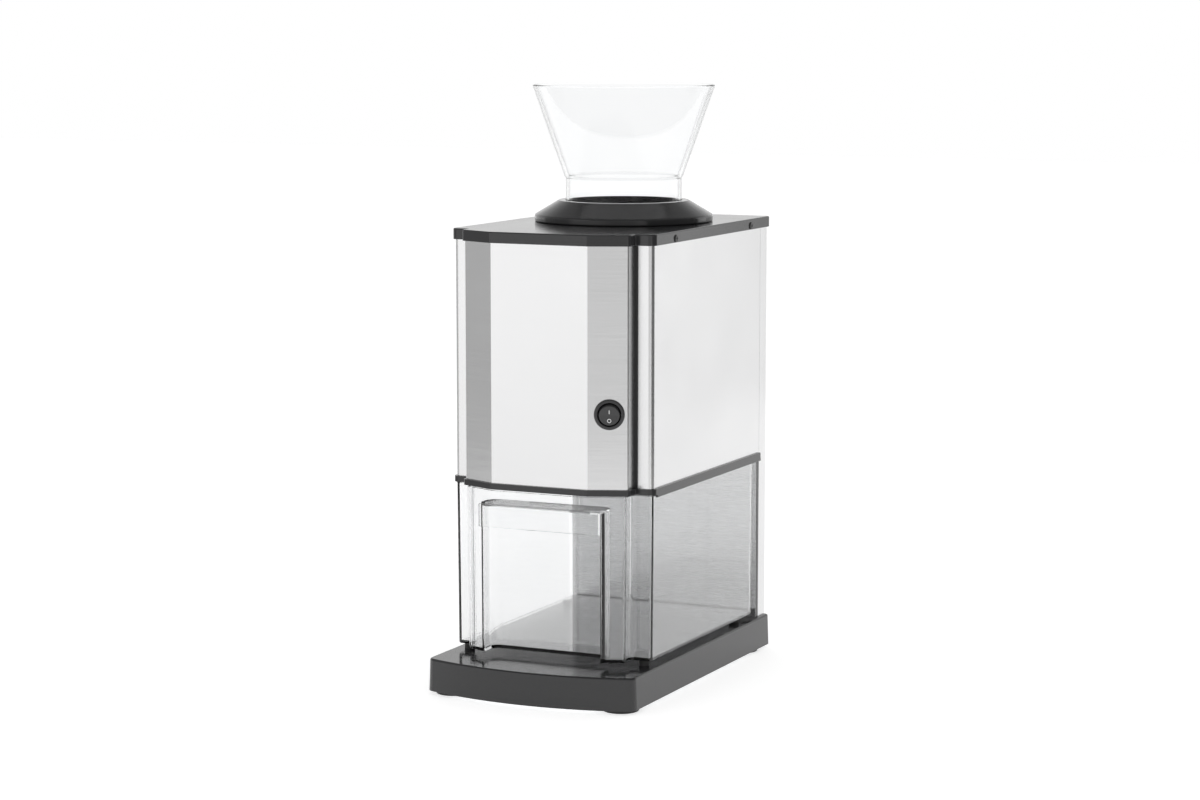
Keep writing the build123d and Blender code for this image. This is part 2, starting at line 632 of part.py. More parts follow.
COLLAR_FOOT_RADIUS = 70.0
COLLAR_TOP_RADIUS = 51.3
COLLAR_SHOULDER_Z = 358.2
COLLAR_BORE_RADIUS = NECK_RADIUS + 0.4
LEDGE_Z = 351.0
LEDGE_BOTTOM_Z = CHAMBER_TOP_Z + 0.1
HOPPER_CENTRE = Plane.XZ.offset(-HOPPER_Y)
with BuildPart() as hopper_collar:
    with BuildSketch(HOPPER_CENTRE):
        with BuildLine():
            FilletPolyline(
                (SPIGOT_RADIUS, LEDGE_BOTTOM_Z),
                (SPIGOT_RADIUS, LID_TOP_Z),
                (COLLAR_FOOT_RADIUS, LID_TOP_Z),
                (COLLAR_FOOT_RADIUS, COLLAR_SHOULDER_Z),
                (COLLAR_TOP_RADIUS, COLLAR_TOP_Z),
                (COLLAR_BORE_RADIUS, COLLAR_TOP_Z),
                (COLLAR_BORE_RADIUS, LEDGE_Z),
                (THROAT_RADIUS, LEDGE_Z),
                (THROAT_RADIUS, LEDGE_BOTTOM_Z),
                radius=[0, 0, 1.2, 2.0, 0.8, 0, 0.5, 0, 0.3],
                close=True,
            )
        make_face()
    revolve(axis=Axis((0, HOPPER_Y, 0), (0, 0, 1)))
    with BuildSketch(Plane.XY.offset(LID_TOP_Z)):
        with Locations((0, HOPPER_Y)):
            with PolarLocations(COLLAR_SCREW_RING, 4, start_angle=45):
                Circle(COLLAR_SCREW_RADIUS + FIT_GAP)
    extrude(amount=5, mode=Mode.SUBTRACT)
hopper_collar.part.label = "hopper_collar"
export_step(hopper_collar.part, "parts/hopper_collar.step")

with BuildPart() as collar_screws:
    with BuildSketch(Plane.XY.offset(LID_TOP_Z - LID_PLATE)):
        with Locations((0, HOPPER_Y)):
            with PolarLocations(COLLAR_SCREW_RING, 4, start_angle=45):
                Circle(2.8)
    extrude(amount=-1.8)
    with BuildSketch(Plane.XY.offset(LID_TOP_Z - LID_PLATE)):
        with Locations((0, HOPPER_Y)):
            with PolarLocations(COLLAR_SCREW_RING, 4, start_angle=45):
                Circle(COLLAR_SCREW_RADIUS)
    extrude(amount=LID_PLATE + 4.5)
collar_screws.part.label = "collar_screws"
export_step(collar_screws.part, "parts/collar_screws.step")

# ================================================================ hopper
NECK_BOTTOM_Z = LEDGE_Z + 0.1
SHOULDER_STEP = 0.9
SHOULDER_LIP = 1.0
with BuildPart() as hopper:
    with BuildSketch(HOPPER_CENTRE):
        with BuildLine():
            FilletPolyline(
                (NECK_RADIUS, NECK_BOTTOM_Z),
                (NECK_RADIUS, SHOULDER_Z - SHOULDER_LIP),
                (NECK_RADIUS + SHOULDER_STEP, SHOULDER_Z),
                (RIM_RADIUS, RIM_Z),
                (RIM_RADIUS - HOPPER_WALL, RIM_Z),
                (NECK_RADIUS - HOPPER_WALL, SHOULDER_Z + SHOULDER_LIP),
                (NECK_RADIUS - HOPPER_WALL, NECK_BOTTOM_Z),
                radius=[0.5, 0, 0, 0.8, 0.9, 4, 0.5],
                close=True,
            )
        make_face()
    revolve(axis=Axis((0, HOPPER_Y, 0), (0, 0, 1)))
hopper.part.label = "hopper"
export_step(hopper.part, "parts/hopper.step")

# ================================================================ ice bin
BIN_FRONT_Y = -110.4
BIN_LOBE_X = 66.6
BIN_LOBE_Y = -99.0
BIN_X = 82.6
BIN_REAR_Y = 120.4
BIN_CORNERS = [
    (38.0, BIN_FRONT_Y, 22.0),
    (BIN_LOBE_X, BIN_LOBE_Y, 5.0),
    (BIN_LOBE_X, COLUMN_Y, 3.0),
    (BIN_X, COLUMN_Y, 4.0),
    (BIN_X, BIN_REAR_Y, 9.0),
]
BIN_HEIGHT = BIN_TOP_Z - BIN_BOTTOM_Z
BIN_TAPER = degrees(atan2(BIN_DRAFT, BIN_HEIGHT))
GRIP_X = 49.0
GRIP_REAR_Y = -88.0
GRIP_TOP_Z = 145.0
GRIP_CORNER = 7.0
LIP_BOTTOM_Z = 129.5
LIP_TOP_Z = 147.0
LIP_THICKNESS = 2.2
LIP_PROUD = 0.4


def grip_face(clearance):
    """Plan of the finger recess in the front of the bin, grown by a clearance."""
    front_y = BIN_FRONT_Y - 20
    with BuildSketch() as recess:
        with BuildLine():
            FilletPolyline(
                (-GRIP_X - clearance, front_y),
                (-GRIP_X - clearance, GRIP_REAR_Y + clearance),
                (GRIP_X + clearance, GRIP_REAR_Y + clearance),
                (GRIP_X + clearance, front_y),
                radius=[0, GRIP_CORNER + clearance, GRIP_CORNER + clearance, 0],
                close=True,
            )
        make_face()
    return recess.sketch


with BuildPart() as grip_void:
    with BuildSketch(Plane.XY.offset(BIN_BOTTOM_Z - 1)):
        add(grip_face(BIN_WALL))
    extrude(amount=GRIP_TOP_Z + BIN_WALL - BIN_BOTTOM_Z + 1)

with BuildPart() as bin_cavity:
    with BuildSketch(Plane.XY.offset(BIN_TOP_Z)):
        add(mirrored_face(grown(BIN_CORNERS, -BIN_WALL)))
    extrude(amount=-(BIN_HEIGHT - BIN_WALL), taper=BIN_TAPER)
    add(grip_void.part, mode=Mode.SUBTRACT)

with BuildPart() as ice_bin:
    with BuildSketch(Plane.XY.offset(BIN_TOP_Z)):
        add(mirrored_face(BIN_CORNERS))
    extrude(amount=-BIN_HEIGHT, taper=BIN_TAPER)
    fillet(ice_bin.faces().sort_by(Axis.Z)[0].edges(), 1.2)
    with BuildSketch(Plane.XY.offset(BIN_BOTTOM_Z - 1)):
        add(grip_face(0))
    extrude(amount=GRIP_TOP_Z - BIN_BOTTOM_Z + 1, mode=Mode.SUBTRACT)
    add(bin_cavity.part, mode=Mode.SUBTRACT)
    with BuildSketch(Plane.XY.offset(LIP_BOTTOM_Z)):
        with Locations((0, BIN_FRONT_Y - LIP_PROUD)):
            Rectangle(2 * GRIP_X + 2, LIP_THICKNESS, align=(Align.CENTER, Align.MIN))
    extrude(amount=LIP_TOP_Z - LIP_BOTTOM_Z)
ice_bin.part.label = "ice_bin"
export_step(ice_bin.part, "parts/ice_bin.step")

# ================================================================ crushing chamber
CHAMBER_CENTRE_Y = (CHAMBER_FRONT_Y + CHAMBER_REAR_Y) / 2
CHAMBER_LENGTH = CHAMBER_REAR_Y - CHAMBER_FRONT_Y
SEAL_RADIUS = 10.0
COMB_Z = SHAFT_Z
COMB_SCREW_OFFSET = 31.5
COMB_SCREW_SPOTS = [
    (CHAMBER_CENTRE_Y - COMB_SCREW_OFFSET, COMB_Z),
    (CHAMBER_CENTRE_Y + COMB_SCREW_OFFSET, COMB_Z),
]
COMB_SCREW_RADIUS = 2.0
with BuildPart() as crusher_housing:
    with BuildSketch(Plane.XY.offset(CHAMBER_BOTTOM_Z)):
        with Locations((0, CHAMBER_CENTRE_Y)):
            RectangleRounded(
                2 * (CHAMBER_X + CHAMBER_WALL), CHAMBER_LENGTH + 2 * CHAMBER_WALL, CHAMBER_WALL + 1
            )
    extrude(amount=CHAMBER_TOP_Z - CHAMBER_BOTTOM_Z)
    with BuildSketch(Plane.XY.offset(CHAMBER_TOP_Z - CHAMBER_WALL)):
        with Locations((0, HOPPER_Y)):
            Circle(SPIGOT_RADIUS)
    extrude(amount=CHAMBER_WALL)
    with BuildSketch(Plane.XY.offset(CHAMBER_BOTTOM_Z)):
        with Locations((0, CHAMBER_CENTRE_Y)):
            RectangleRounded(2 * CHAMBER_X, CHAMBER_LENGTH, 1)
    extrude(amount=CHAMBER_TOP_Z - CHAMBER_WALL - CHAMBER_BOTTOM_Z, mode=Mode.SUBTRACT)
    with BuildSketch(Plane.XY.offset(CHAMBER_TOP_Z)):
        with Locations((0, HOPPER_Y)):
            Circle(THROAT_RADIUS)
    extrude(amount=-CHAMBER_WALL, mode=Mode.SUBTRACT)
    with BuildSketch(across(CHAMBER_FRONT_Y - CHAMBER_WALL)):
        with Locations((0, SHAFT_Z)):
            Circle(SEAL_RADIUS)
    extrude(amount=-(CHAMBER_LENGTH + 2 * CHAMBER_WALL), mode=Mode.SUBTRACT)
    with BuildSketch(Plane.YZ.offset(-CHAMBER_X - CHAMBER_WALL)):
        with Locations(*COMB_SCREW_SPOTS):
            Circle(COMB_SCREW_RADIUS + 0.15)
    extrude(amount=2 * (CHAMBER_X + CHAMBER_WALL), mode=Mode.SUBTRACT)
crusher_housing.part.label = "crusher_housing"
export_step(crusher_housing.part, "parts/crusher_housing.step")

CHUTE_FLANGE = 3.0
CHUTE_OUT_BOTTOM_Z = FLOOR_BOTTOM_Z + 0.2


def chute_section(inset, z):
    """Rectangle of the chute at the height z: the chamber's size at the top, the outlet's below."""
    if z > FLOOR_TOP_Z + CHUTE_FLANGE:
        half_x = CHAMBER_X + CHAMBER_WALL
        depth = CHAMBER_LENGTH + 2 * CHAMBER_WALL
        centre_y = CHAMBER_CENTRE_Y
    else:
        half_x = CHUTE_OUT_X
        depth = CHUTE_OUT_DEPTH
        centre_y = CHUTE_OUT_Y
    with BuildSketch(Plane.XY.offset(z)) as section:
        with Locations((0, centre_y)):
            Rectangle(2 * (half_x - inset), depth - 2 * inset)
    return section.sketch


with BuildPart() as chute:
    add(chute_section(0, CHAMBER_BOTTOM_Z))
    add(chute_section(0, FLOOR_TOP_Z))
    loft(ruled=True)
    with BuildSketch(Plane.XY.offset(FLOOR_TOP_Z)):
        with Locations((0, CHUTE_OUT_Y)):
            RectangleRounded(2 * CHUTE_OUT_X + 18, CHUTE_OUT_DEPTH + 14, 4)
    extrude(amount=CHUTE_FLANGE)
    with BuildSketch(Plane.XY.offset(CHUTE_OUT_BOTTOM_Z)):
        with Locations((0, CHUTE_OUT_Y)):
            Rectangle(2 * CHUTE_OUT_X, CHUTE_OUT_DEPTH)
    extrude(amount=FLOOR_TOP_Z - CHUTE_OUT_BOTTOM_Z)
    add(chute_section(CHAMBER_WALL, CHAMBER_BOTTOM_Z))
    add(chute_section(CHAMBER_WALL, FLOOR_TOP_Z))
    loft(ruled=True, mode=Mode.SUBTRACT)
    with BuildSketch(Plane.XY.offset(CHUTE_OUT_BOTTOM_Z)):
        with Locations((0, CHUTE_OUT_Y)):
            Rectangle(2 * (CHUTE_OUT_X - CHAMBER_WALL), CHUTE_OUT_DEPTH - 2 * CHAMBER_WALL)
    extrude(amount=FLOOR_TOP_Z - CHUTE_OUT_BOTTOM_Z, mode=Mode.SUBTRACT)
chute.part.label = "chute"
export_step(chute.part, "parts/chute.step")

PLATE_TOP = 312.0
PLATE_FOOT = 16.0
FRONT_PLATE_X = 58.0
REAR_PLATE_X = 46.0
BUSH_RADIUS = 9.0
PLATE_SCREW_RADIUS = 2.0
FRONT_FOOT_SPOTS = [(x, FRONT_PLATE_Y - PLATE_FOOT / 2) for x in (-48, 48)]
REAR_FOOT_SPOTS = [(x, REAR_PLATE_Y + PLATE + PLATE_FOOT / 2) for x in (-36, 36)]
STANDOFF_SPOTS = [(-52, 200), (52, 200), (-52, 302), (52, 302)]
STANDOFF_RADIUS = 4.0
LAY_BUSH_RADIUS = 6.5
with BuildPart() as bearing_plate_front:
    with BuildSketch(across(FRONT_PLATE_Y)):
        with BuildLine():
            FilletPolyline(
                (-FRONT_PLATE_X, FLOOR_TOP_Z),
                (FRONT_PLATE_X, FLOOR_TOP_Z),
                (FRONT_PLATE_X, PLATE_TOP),
                (-FRONT_PLATE_X, PLATE_TOP),
                radius=[0, 0, 10, 10],
                close=True,
            )
        make_face()
        with Locations((0, SHAFT_Z)):
            Circle(BUSH_RADIUS + FIT_GAP, mode=Mode.SUBTRACT)
        with Locations((LAYSHAFT_X, LAYSHAFT_Z)):
            Circle(LAY_BUSH_RADIUS + FIT_GAP, mode=Mode.SUBTRACT)
    extrude(amount=-PLATE)
    with BuildSketch(Plane.XY.offset(FLOOR_TOP_Z)):
        with Locations((0, FRONT_PLATE_Y - PLATE_FOOT / 2)):
            Rectangle(2 * FRONT_PLATE_X, PLATE_FOOT)
        with Locations(*FRONT_FOOT_SPOTS):
            Circle(PLATE_SCREW_RADIUS + 0.2, mode=Mode.SUBTRACT)
    extrude(amount=PLATE)
bearing_plate_front.part.label = "bearing_plate_front"
export_step(bearing_plate_front.part, "parts/bearing_plate_front.step")

with BuildPart() as bearing_plate_rear:
    with BuildSketch(across(REAR_PLATE_Y)):
        with BuildLine():
            FilletPolyline(
                (-REAR_PLATE_X, FLOOR_TOP_Z),
                (REAR_PLATE_X, FLOOR_TOP_Z),
                (REAR_PLATE_X, PLATE_TOP),
                (-REAR_PLATE_X, PLATE_TOP),
                radius=[0, 0, 10, 10],
                close=True,
            )
        make_face()
        with Locations((0, SHAFT_Z)):
            Circle(BUSH_RADIUS + FIT_GAP, mode=Mode.SUBTRACT)
    extrude(amount=-PLATE)
    with BuildSketch(Plane.XY.offset(FLOOR_TOP_Z)):
        with Locations((0, REAR_PLATE_Y + PLATE + PLATE_FOOT / 2)):
            Rectangle(2 * REAR_PLATE_X, PLATE_FOOT)
        with Locations(*REAR_FOOT_SPOTS):
            Circle(PLATE_SCREW_RADIUS + 0.2, mode=Mode.SUBTRACT)
    extrude(amount=PLATE)
bearing_plate_rear.part.label = "bearing_plate_rear"
export_step(bearing_plate_rear.part, "parts/bearing_plate_rear.step")

# ================================================================ bushes, seals and combs
RUNNING_GAP = 0.06
FLANGE_GROWTH = 2.5
BUSH_FLANGE = 1.5


def flanged_bush(x, z, y, direction, bore_radius, outer_radius):
    """Bush through a plate: a sleeve, and a flange on the front (-1) or the back (1) of the plate."""
    with BuildPart() as bush:
        with BuildSketch(across(y)):
            with Locations((x, z)):
                Circle(outer_radius)
        extrude(amount=-PLATE)
        with BuildSketch(across(y if direction < 0 else y + PLATE)):
            with Locations((x, z)):
                Circle(outer_radius + FLANGE_GROWTH)
        extrude(amount=-direction * BUSH_FLANGE)
        with BuildSketch(across(y - BUSH_FLANGE)):
            with Locations((x, z)):
                Circle(bore_radius)
        extrude(amount=-(PLATE + 2 * BUSH_FLANGE), mode=Mode.SUBTRACT)
    return bush.part


SHAFT_BUSHES = [
    flanged_bush(0, SHAFT_Z, FRONT_PLATE_Y, -1, SHAFT_RADIUS + RUNNING_GAP, BUSH_RADIUS),
    flanged_bush(0, SHAFT_Z, REAR_PLATE_Y, 1, SHAFT_RADIUS + RUNNING_GAP, BUSH_RADIUS),
]
with BuildPart() as shaft_bushes:
    add(SHAFT_BUSHES)
shaft_bushes.part.label = "shaft_bushes"
export_step(shaft_bushes.part, "parts/shaft_bushes.step")

LAY_BUSHES = [
    flanged_bush(LAYSHAFT_X, LAYSHAFT_Z, GEAR_PLATE_Y, 1, LAYSHAFT_RADIUS + RUNNING_GAP, LAY_BUSH_RADIUS),
    flanged_bush(LAYSHAFT_X, LAYSHAFT_Z, FRONT_PLATE_Y, -1, LAYSHAFT_RADIUS + RUNNING_GAP, LAY_BUSH_RADIUS),
]
with BuildPart() as lay_bushes:
    add(LAY_BUSHES)
lay_bushes.part.label = "lay_bushes"
export_step(lay_bushes.part, "parts/lay_bushes.step")

SEAL_GAP = 0.35
with BuildPart() as shaft_seals:
    with BuildSketch(across(CHAMBER_FRONT_Y - CHAMBER_WALL)):
        with Locations((0, SHAFT_Z)):
            Circle(SEAL_RADIUS - FIT_GAP)
            Circle(SHAFT_RADIUS + SEAL_GAP, mode=Mode.SUBTRACT)
    extrude(amount=-CHAMBER_WALL)
    with BuildSketch(across(CHAMBER_REAR_Y)):
        with Locations((0, SHAFT_Z)):
            Circle(SEAL_RADIUS - FIT_GAP)
            Circle(SHAFT_RADIUS + SEAL_GAP, mode=Mode.SUBTRACT)
    extrude(amount=-CHAMBER_WALL)
shaft_seals.part.label = "shaft_seals"
export_step(shaft_seals.part, "parts/shaft_seals.step")

COMB_RAIL = 3.5
COMB_HEIGHT = 9.0
FINGER_WIDTH = 6.0
FINGER_TIP_X = 12.0
FINGER_SPOTS = [CHAMBER_CENTRE_Y + (index - 1) * BLADE_PITCH for index in range(BLADE_COUNT - 1)]
with BuildPart() as comb_right:
    with BuildSketch(Plane.XY.offset(COMB_Z - COMB_HEIGHT / 2)):
        with Locations((CHAMBER_X - COMB_RAIL / 2, CHAMBER_CENTRE_Y)):
            Rectangle(COMB_RAIL, CHAMBER_LENGTH - 2.4)
        for finger_y in FINGER_SPOTS:
            with BuildLine():
                FilletPolyline(
                    (CHAMBER_X - COMB_RAIL, finger_y - FINGER_WIDTH / 2),
                    (CHAMBER_X - COMB_RAIL, finger_y + FINGER_WIDTH / 2),
                    (FINGER_TIP_X, finger_y + FINGER_WIDTH / 3),
                    (FINGER_TIP_X, finger_y - FINGER_WIDTH / 3),
                    radius=[0, 0, 1, 1],
                    close=True,
                )
            make_face()
    extrude(amount=COMB_HEIGHT)
    with BuildSketch(Plane.YZ.offset(CHAMBER_X)):
        with Locations(*COMB_SCREW_SPOTS):
            Circle(COMB_SCREW_RADIUS + FIT_GAP)
    extrude(amount=-COMB_RAIL, mode=Mode.SUBTRACT)
comb_right.part.label = "comb_right"
export_step(comb_right.part, "parts/comb_right.step")

with BuildPart() as comb_left:
    mirror(comb_right.part, about=Plane.YZ)
comb_left.part.label = "comb_left"
export_step(comb_left.part, "parts/comb_left.step")

# ================================================================ crusher shaft and blades
SHAFT_FRONT_Y = -27.0
SHAFT_REAR_Y = 99.0
SQUARE = 11.0
BLADE_SPOTS = [
    CHAMBER_CENTRE_Y + (index - (BLADE_COUNT - 1) / 2) * BLADE_PITCH for index in range(BLADE_COUNT)
]
SQUARE_FRONT_Y = BLADE_SPOTS[0] - BLADE_THICKNESS / 2 - 8
SQUARE_REAR_Y = BLADE_SPOTS[-1] + BLADE_THICKNESS / 2 + 8
with BuildPart() as crusher_shaft:
    with BuildSketch(across(SHAFT_FRONT_Y)):
        with Locations((0, SHAFT_Z)):
            Circle(SHAFT_RADIUS)
    extrude(amount=-(SHAFT_REAR_Y - SHAFT_FRONT_Y))
    with BuildSketch(across(SQUARE_FRONT_Y)):
        with Locations((0, SHAFT_Z)):
            Rectangle(SQUARE, SQUARE)
    extrude(amount=-(SQUARE_REAR_Y - SQUARE_FRONT_Y))
    chamfer(crusher_shaft.faces().sort_by(Axis.Y)[0].edges(), 0.6)
    chamfer(crusher_shaft.faces().sort_by(Axis.Y)[-1].edges(), 0.6)
crusher_shaft.part.label = "crusher_shaft"
export_step(crusher_shaft.part, "parts/crusher_shaft.step")

BORE_GAP = 0.06
HUB_RADIUS = 9.6
ARMS = 3
ARM_ROOT_RADIUS = 10.5
ARM_STAGGER = 30.0


def crusher_blade(index):
    """Star blade with three hooked arms; each blade is turned on from the one in front."""
    turn = radians(index * ARM_STAGGER)
    hook = [(-20, ARM_ROOT_RADIUS), (-7, BLADE_RADIUS - 3), (6, BLADE_RADIUS), (16, BLADE_RADIUS - 6)]
    hook += [(14, BLADE_RADIUS - 14), (32, ARM_ROOT_RADIUS)]
    outline = []
    for arm in range(ARMS):
        for angle, radius in hook:
            bearing = turn + radians(angle) + 2 * pi * arm / ARMS
            outline.append((radius * cos(bearing), SHAFT_Z + radius * sin(bearing)))
    with BuildPart() as blade:
        with BuildSketch(across(BLADE_SPOTS[index] - BLADE_THICKNESS / 2)):
            with BuildLine():
                Polyline(*outline, close=True)
            make_face()
            with Locations((0, SHAFT_Z)):
                Circle(ARM_ROOT_RADIUS)
        extrude(amount=-BLADE_THICKNESS)
        chamfer(blade.edges().group_by(Axis.Y)[0], 0.5)
        with BuildSketch(across(BLADE_SPOTS[index] - BLADE_THICKNESS)):
            with Locations((0, SHAFT_Z)):
                Rectangle(SQUARE + 2 * BORE_GAP, SQUARE + 2 * BORE_GAP)
                Circle(SHAFT_RADIUS + BORE_GAP)
        extrude(amount=-2 * BLADE_THICKNESS, mode=Mode.SUBTRACT)
    return blade.part


for blade_index in range(BLADE_COUNT):
    blade = crusher_blade(blade_index)
    blade.label = f"blade_{blade_index + 1}"
    export_step(blade, f"parts/blade_{blade_index + 1}.step")

SPACER_LENGTH = BLADE_PITCH - BLADE_THICKNESS - 2 * FIT_GAP
END_COLLAR_LENGTH = 6.0
END_COLLAR_SPOTS = [
    BLADE_SPOTS[0] - BLADE_THICKNESS / 2 - FIT_GAP - END_COLLAR_LENGTH,
    BLADE_SPOTS[-1] + BLADE_THICKNESS / 2 + FIT_GAP,
]
with BuildPart() as blade_spacers:
    for finger_y in FINGER_SPOTS:
        with BuildSketch(across(finger_y - SPACER_LENGTH / 2)):
            with Locations((0, SHAFT_Z)):
                Circle(HUB_RADIUS)
                Rectangle(SQUARE + 2 * BORE_GAP, SQUARE + 2 * BORE_GAP, mode=Mode.SUBTRACT)
                Circle(SHAFT_RADIUS + BORE_GAP, mode=Mode.SUBTRACT)
        extrude(amount=-SPACER_LENGTH)
    for collar_y in END_COLLAR_SPOTS:
        with BuildSketch(across(collar_y)):
            with Locations((0, SHAFT_Z)):
                Circle(HUB_RADIUS)
                Rectangle(SQUARE + 2 * BORE_GAP, SQUARE + 2 * BORE_GAP, mode=Mode.SUBTRACT)
                Circle(SHAFT_RADIUS + BORE_GAP, mode=Mode.SUBTRACT)
        extrude(amount=-END_COLLAR_LENGTH)
blade_spacers.part.label = "blade_spacers"
export_step(blade_spacers.part, "parts/blade_spacers.step")

# ================================================================ gear train
WHEEL_Y = -23.0
WHEEL_FACE = 10.0
PINION_FACE = 14.0
PINION_Y = -25.0
INPUT_WHEEL_Y = -34.0
INPUT_FACE = 6.0
INPUT_PINION_Y = -35.0
INPUT_PINION_FACE = 8.0
WEB_HOLES = 6


def spur_gear(x, z, y, face_width, teeth, module, tooth_direction, bore_radius):
    """Spur gear with a plain bore, on an axis parallel to Y."""
    with BuildPart() as gear:
        with BuildSketch(across(y)):
            with Locations((x, z)):
                add(gear_face(teeth, module, tooth_direction))
                Circle(bore_radius, mode=Mode.SUBTRACT)
                if teeth > 2 * INPUT_PINION_TEETH:
                    with PolarLocations(module * teeth * 0.32, WEB_HOLES):
                        Circle(module * teeth * 0.075, mode=Mode.SUBTRACT)
        extrude(amount=-face_width)
    return gear.part


OUTPUT_GAP_DIRECTION = LAYSHAFT_DIRECTION + pi + pi / OUTPUT_PINION_TEETH
INPUT_GAP_DIRECTION = MOTOR_DIRECTION + pi + pi / INPUT_PINION_TEETH
drive_wheel = spur_gear(
    0, SHAFT_Z, WHEEL_Y, WHEEL_FACE, OUTPUT_WHEEL_TEETH, OUTPUT_MODULE,
    LAYSHAFT_DIRECTION, SHAFT_RADIUS + BORE_GAP,
)
lay_pinion = spur_gear(
    LAYSHAFT_X, LAYSHAFT_Z, PINION_Y, PINION_FACE, OUTPUT_PINION_TEETH, OUTPUT_MODULE,
    OUTPUT_GAP_DIRECTION, LAYSHAFT_RADIUS + BORE_GAP,
)
lay_wheel = spur_gear(
    LAYSHAFT_X, LAYSHAFT_Z, INPUT_WHEEL_Y, INPUT_FACE, INPUT_WHEEL_TEETH, INPUT_MODULE,
    MOTOR_DIRECTION, LAYSHAFT_RADIUS + BORE_GAP,
)
motor_pinion = spur_gear(
    0, MOTOR_Z, INPUT_PINION_Y, INPUT_PINION_FACE, INPUT_PINION_TEETH, INPUT_MODULE,
    INPUT_GAP_DIRECTION, MOTOR_SHAFT_RADIUS + BORE_GAP,
)
drive_wheel.label = "drive_wheel"
export_step(drive_wheel, "parts/drive_wheel.step")
lay_pinion.label = "lay_pinion"
export_step(lay_pinion, "parts/lay_pinion.step")
lay_wheel.label = "lay_wheel"
export_step(lay_wheel, "parts/lay_wheel.step")
motor_pinion.label = "motor_pinion"
export_step(motor_pinion, "parts/motor_pinion.step")

LAYSHAFT_END_GAP = 0.3
with BuildPart() as layshaft:
    with BuildSketch(across(GEAR_PLATE_Y + LAYSHAFT_END_GAP)):
        with Locations((LAYSHAFT_X, LAYSHAFT_Z)):
            Circle(LAYSHAFT_RADIUS)
    extrude(amount=-(FRONT_PLATE_Y + PLATE - GEAR_PLATE_Y - 2 * LAYSHAFT_END_GAP))
layshaft.part.label = "layshaft"
export_step(layshaft.part, "parts/layshaft.step")

GEAR_PLATE_BOTTOM_Z = 186.0
MOTOR_SPIGOT_RADIUS = 11.0
MOTOR_SCREW_RING = 19.0
MOTOR_SCREW_RADIUS = 2.0
with BuildPart() as gear_plate:
    with BuildSketch(across(GEAR_PLATE_Y)):
        with BuildLine():
            FilletPolyline(
                (-FRONT_PLATE_X, GEAR_PLATE_BOTTOM_Z),
                (FRONT_PLATE_X, GEAR_PLATE_BOTTOM_Z),
                (FRONT_PLATE_X, PLATE_TOP),
                (-FRONT_PLATE_X, PLATE_TOP),
                radius=10,
                close=True,
            )
        make_face()
        with Locations((LAYSHAFT_X, LAYSHAFT_Z)):
            Circle(LAY_BUSH_RADIUS + FIT_GAP, mode=Mode.SUBTRACT)
        with Locations((0, MOTOR_Z)):
            Circle(MOTOR_SPIGOT_RADIUS + 0.1, mode=Mode.SUBTRACT)
            with PolarLocations(MOTOR_SCREW_RING, 4, start_angle=45):
                Circle(MOTOR_SCREW_RADIUS + 0.2, mode=Mode.SUBTRACT)
        with Locations(*STANDOFF_SPOTS):
            Circle(2.2, mode=Mode.SUBTRACT)
    extrude(amount=-PLATE)
gear_plate.part.label = "gear_plate"
export_step(gear_plate.part, "parts/gear_plate.step")

with BuildPart() as gear_standoffs:
    with BuildSketch(across(GEAR_PLATE_Y + PLATE)):
        with Locations(*STANDOFF_SPOTS):
            Circle(STANDOFF_RADIUS)
    extrude(amount=-(FRONT_PLATE_Y - GEAR_PLATE_Y - PLATE))
    with BuildSketch(across(GEAR_PLATE_Y + PLATE)):
        with Locations(*STANDOFF_SPOTS):
            Circle(2.0)
    extrude(amount=PLATE)
    with BuildSketch(across(GEAR_PLATE_Y)):
        with Locations(*STANDOFF_SPOTS):
            RegularPolygon(4.0, 6)
    extrude(amount=2.8)
gear_standoffs.part.label = "gear_standoffs"
export_step(gear_standoffs.part, "parts/gear_standoffs.step")

# ================================================================ motor
BELL = 4.0
CAN_WALL = 2.0
CAN_FRONT_Y = MOTOR_FRONT_Y + BELL + 1
CAN_REAR_Y = GEAR_PLATE_Y - BELL
CORE_RADIUS = 19.0
CORE_FRONT_Y = -82.0
CORE_LENGTH = 30.0
CORE_SLOTS = 9
MAGNET_GAP = 1.5
SPIGOT_LENGTH = 2.5
MOTOR_BORE = MOTOR_SHAFT_RADIUS + RUNNING_GAP

with BuildPart() as motor_can:
    with BuildSketch(across(CAN_FRONT_Y)):
        with Locations((0, MOTOR_Z)):
            Circle(MOTOR_RADIUS)
            Circle(MOTOR_RADIUS - CAN_WALL, mode=Mode.SUBTRACT)
    extrude(amount=-(CAN_REAR_Y - CAN_FRONT_Y))
motor_can.part.label = "motor_can"
export_step(motor_can.part, "parts/motor_can.step")

with BuildPart() as motor_drive_bell:
    with BuildSketch(across(CAN_REAR_Y)):
        with Locations((0, MOTOR_Z)):
            Circle(MOTOR_RADIUS)
    extrude(amount=-BELL)
    with BuildSketch(across(GEAR_PLATE_Y)):
        with Locations((0, MOTOR_Z)):
            Circle(MOTOR_SPIGOT_RADIUS)
    extrude(amount=-SPIGOT_LENGTH)
    with BuildSketch(across(CAN_REAR_Y)):
        with Locations((0, MOTOR_Z)):
            Circle(MOTOR_BORE)
            with PolarLocations(MOTOR_SCREW_RING, 4, start_angle=45):
                Circle(MOTOR_SCREW_RADIUS + FIT_GAP)
    extrude(amount=-(BELL + SPIGOT_LENGTH), mode=Mode.SUBTRACT)
motor_drive_bell.part.label = "motor_drive_bell"
export_step(motor_drive_bell.part, "parts/motor_drive_bell.step")

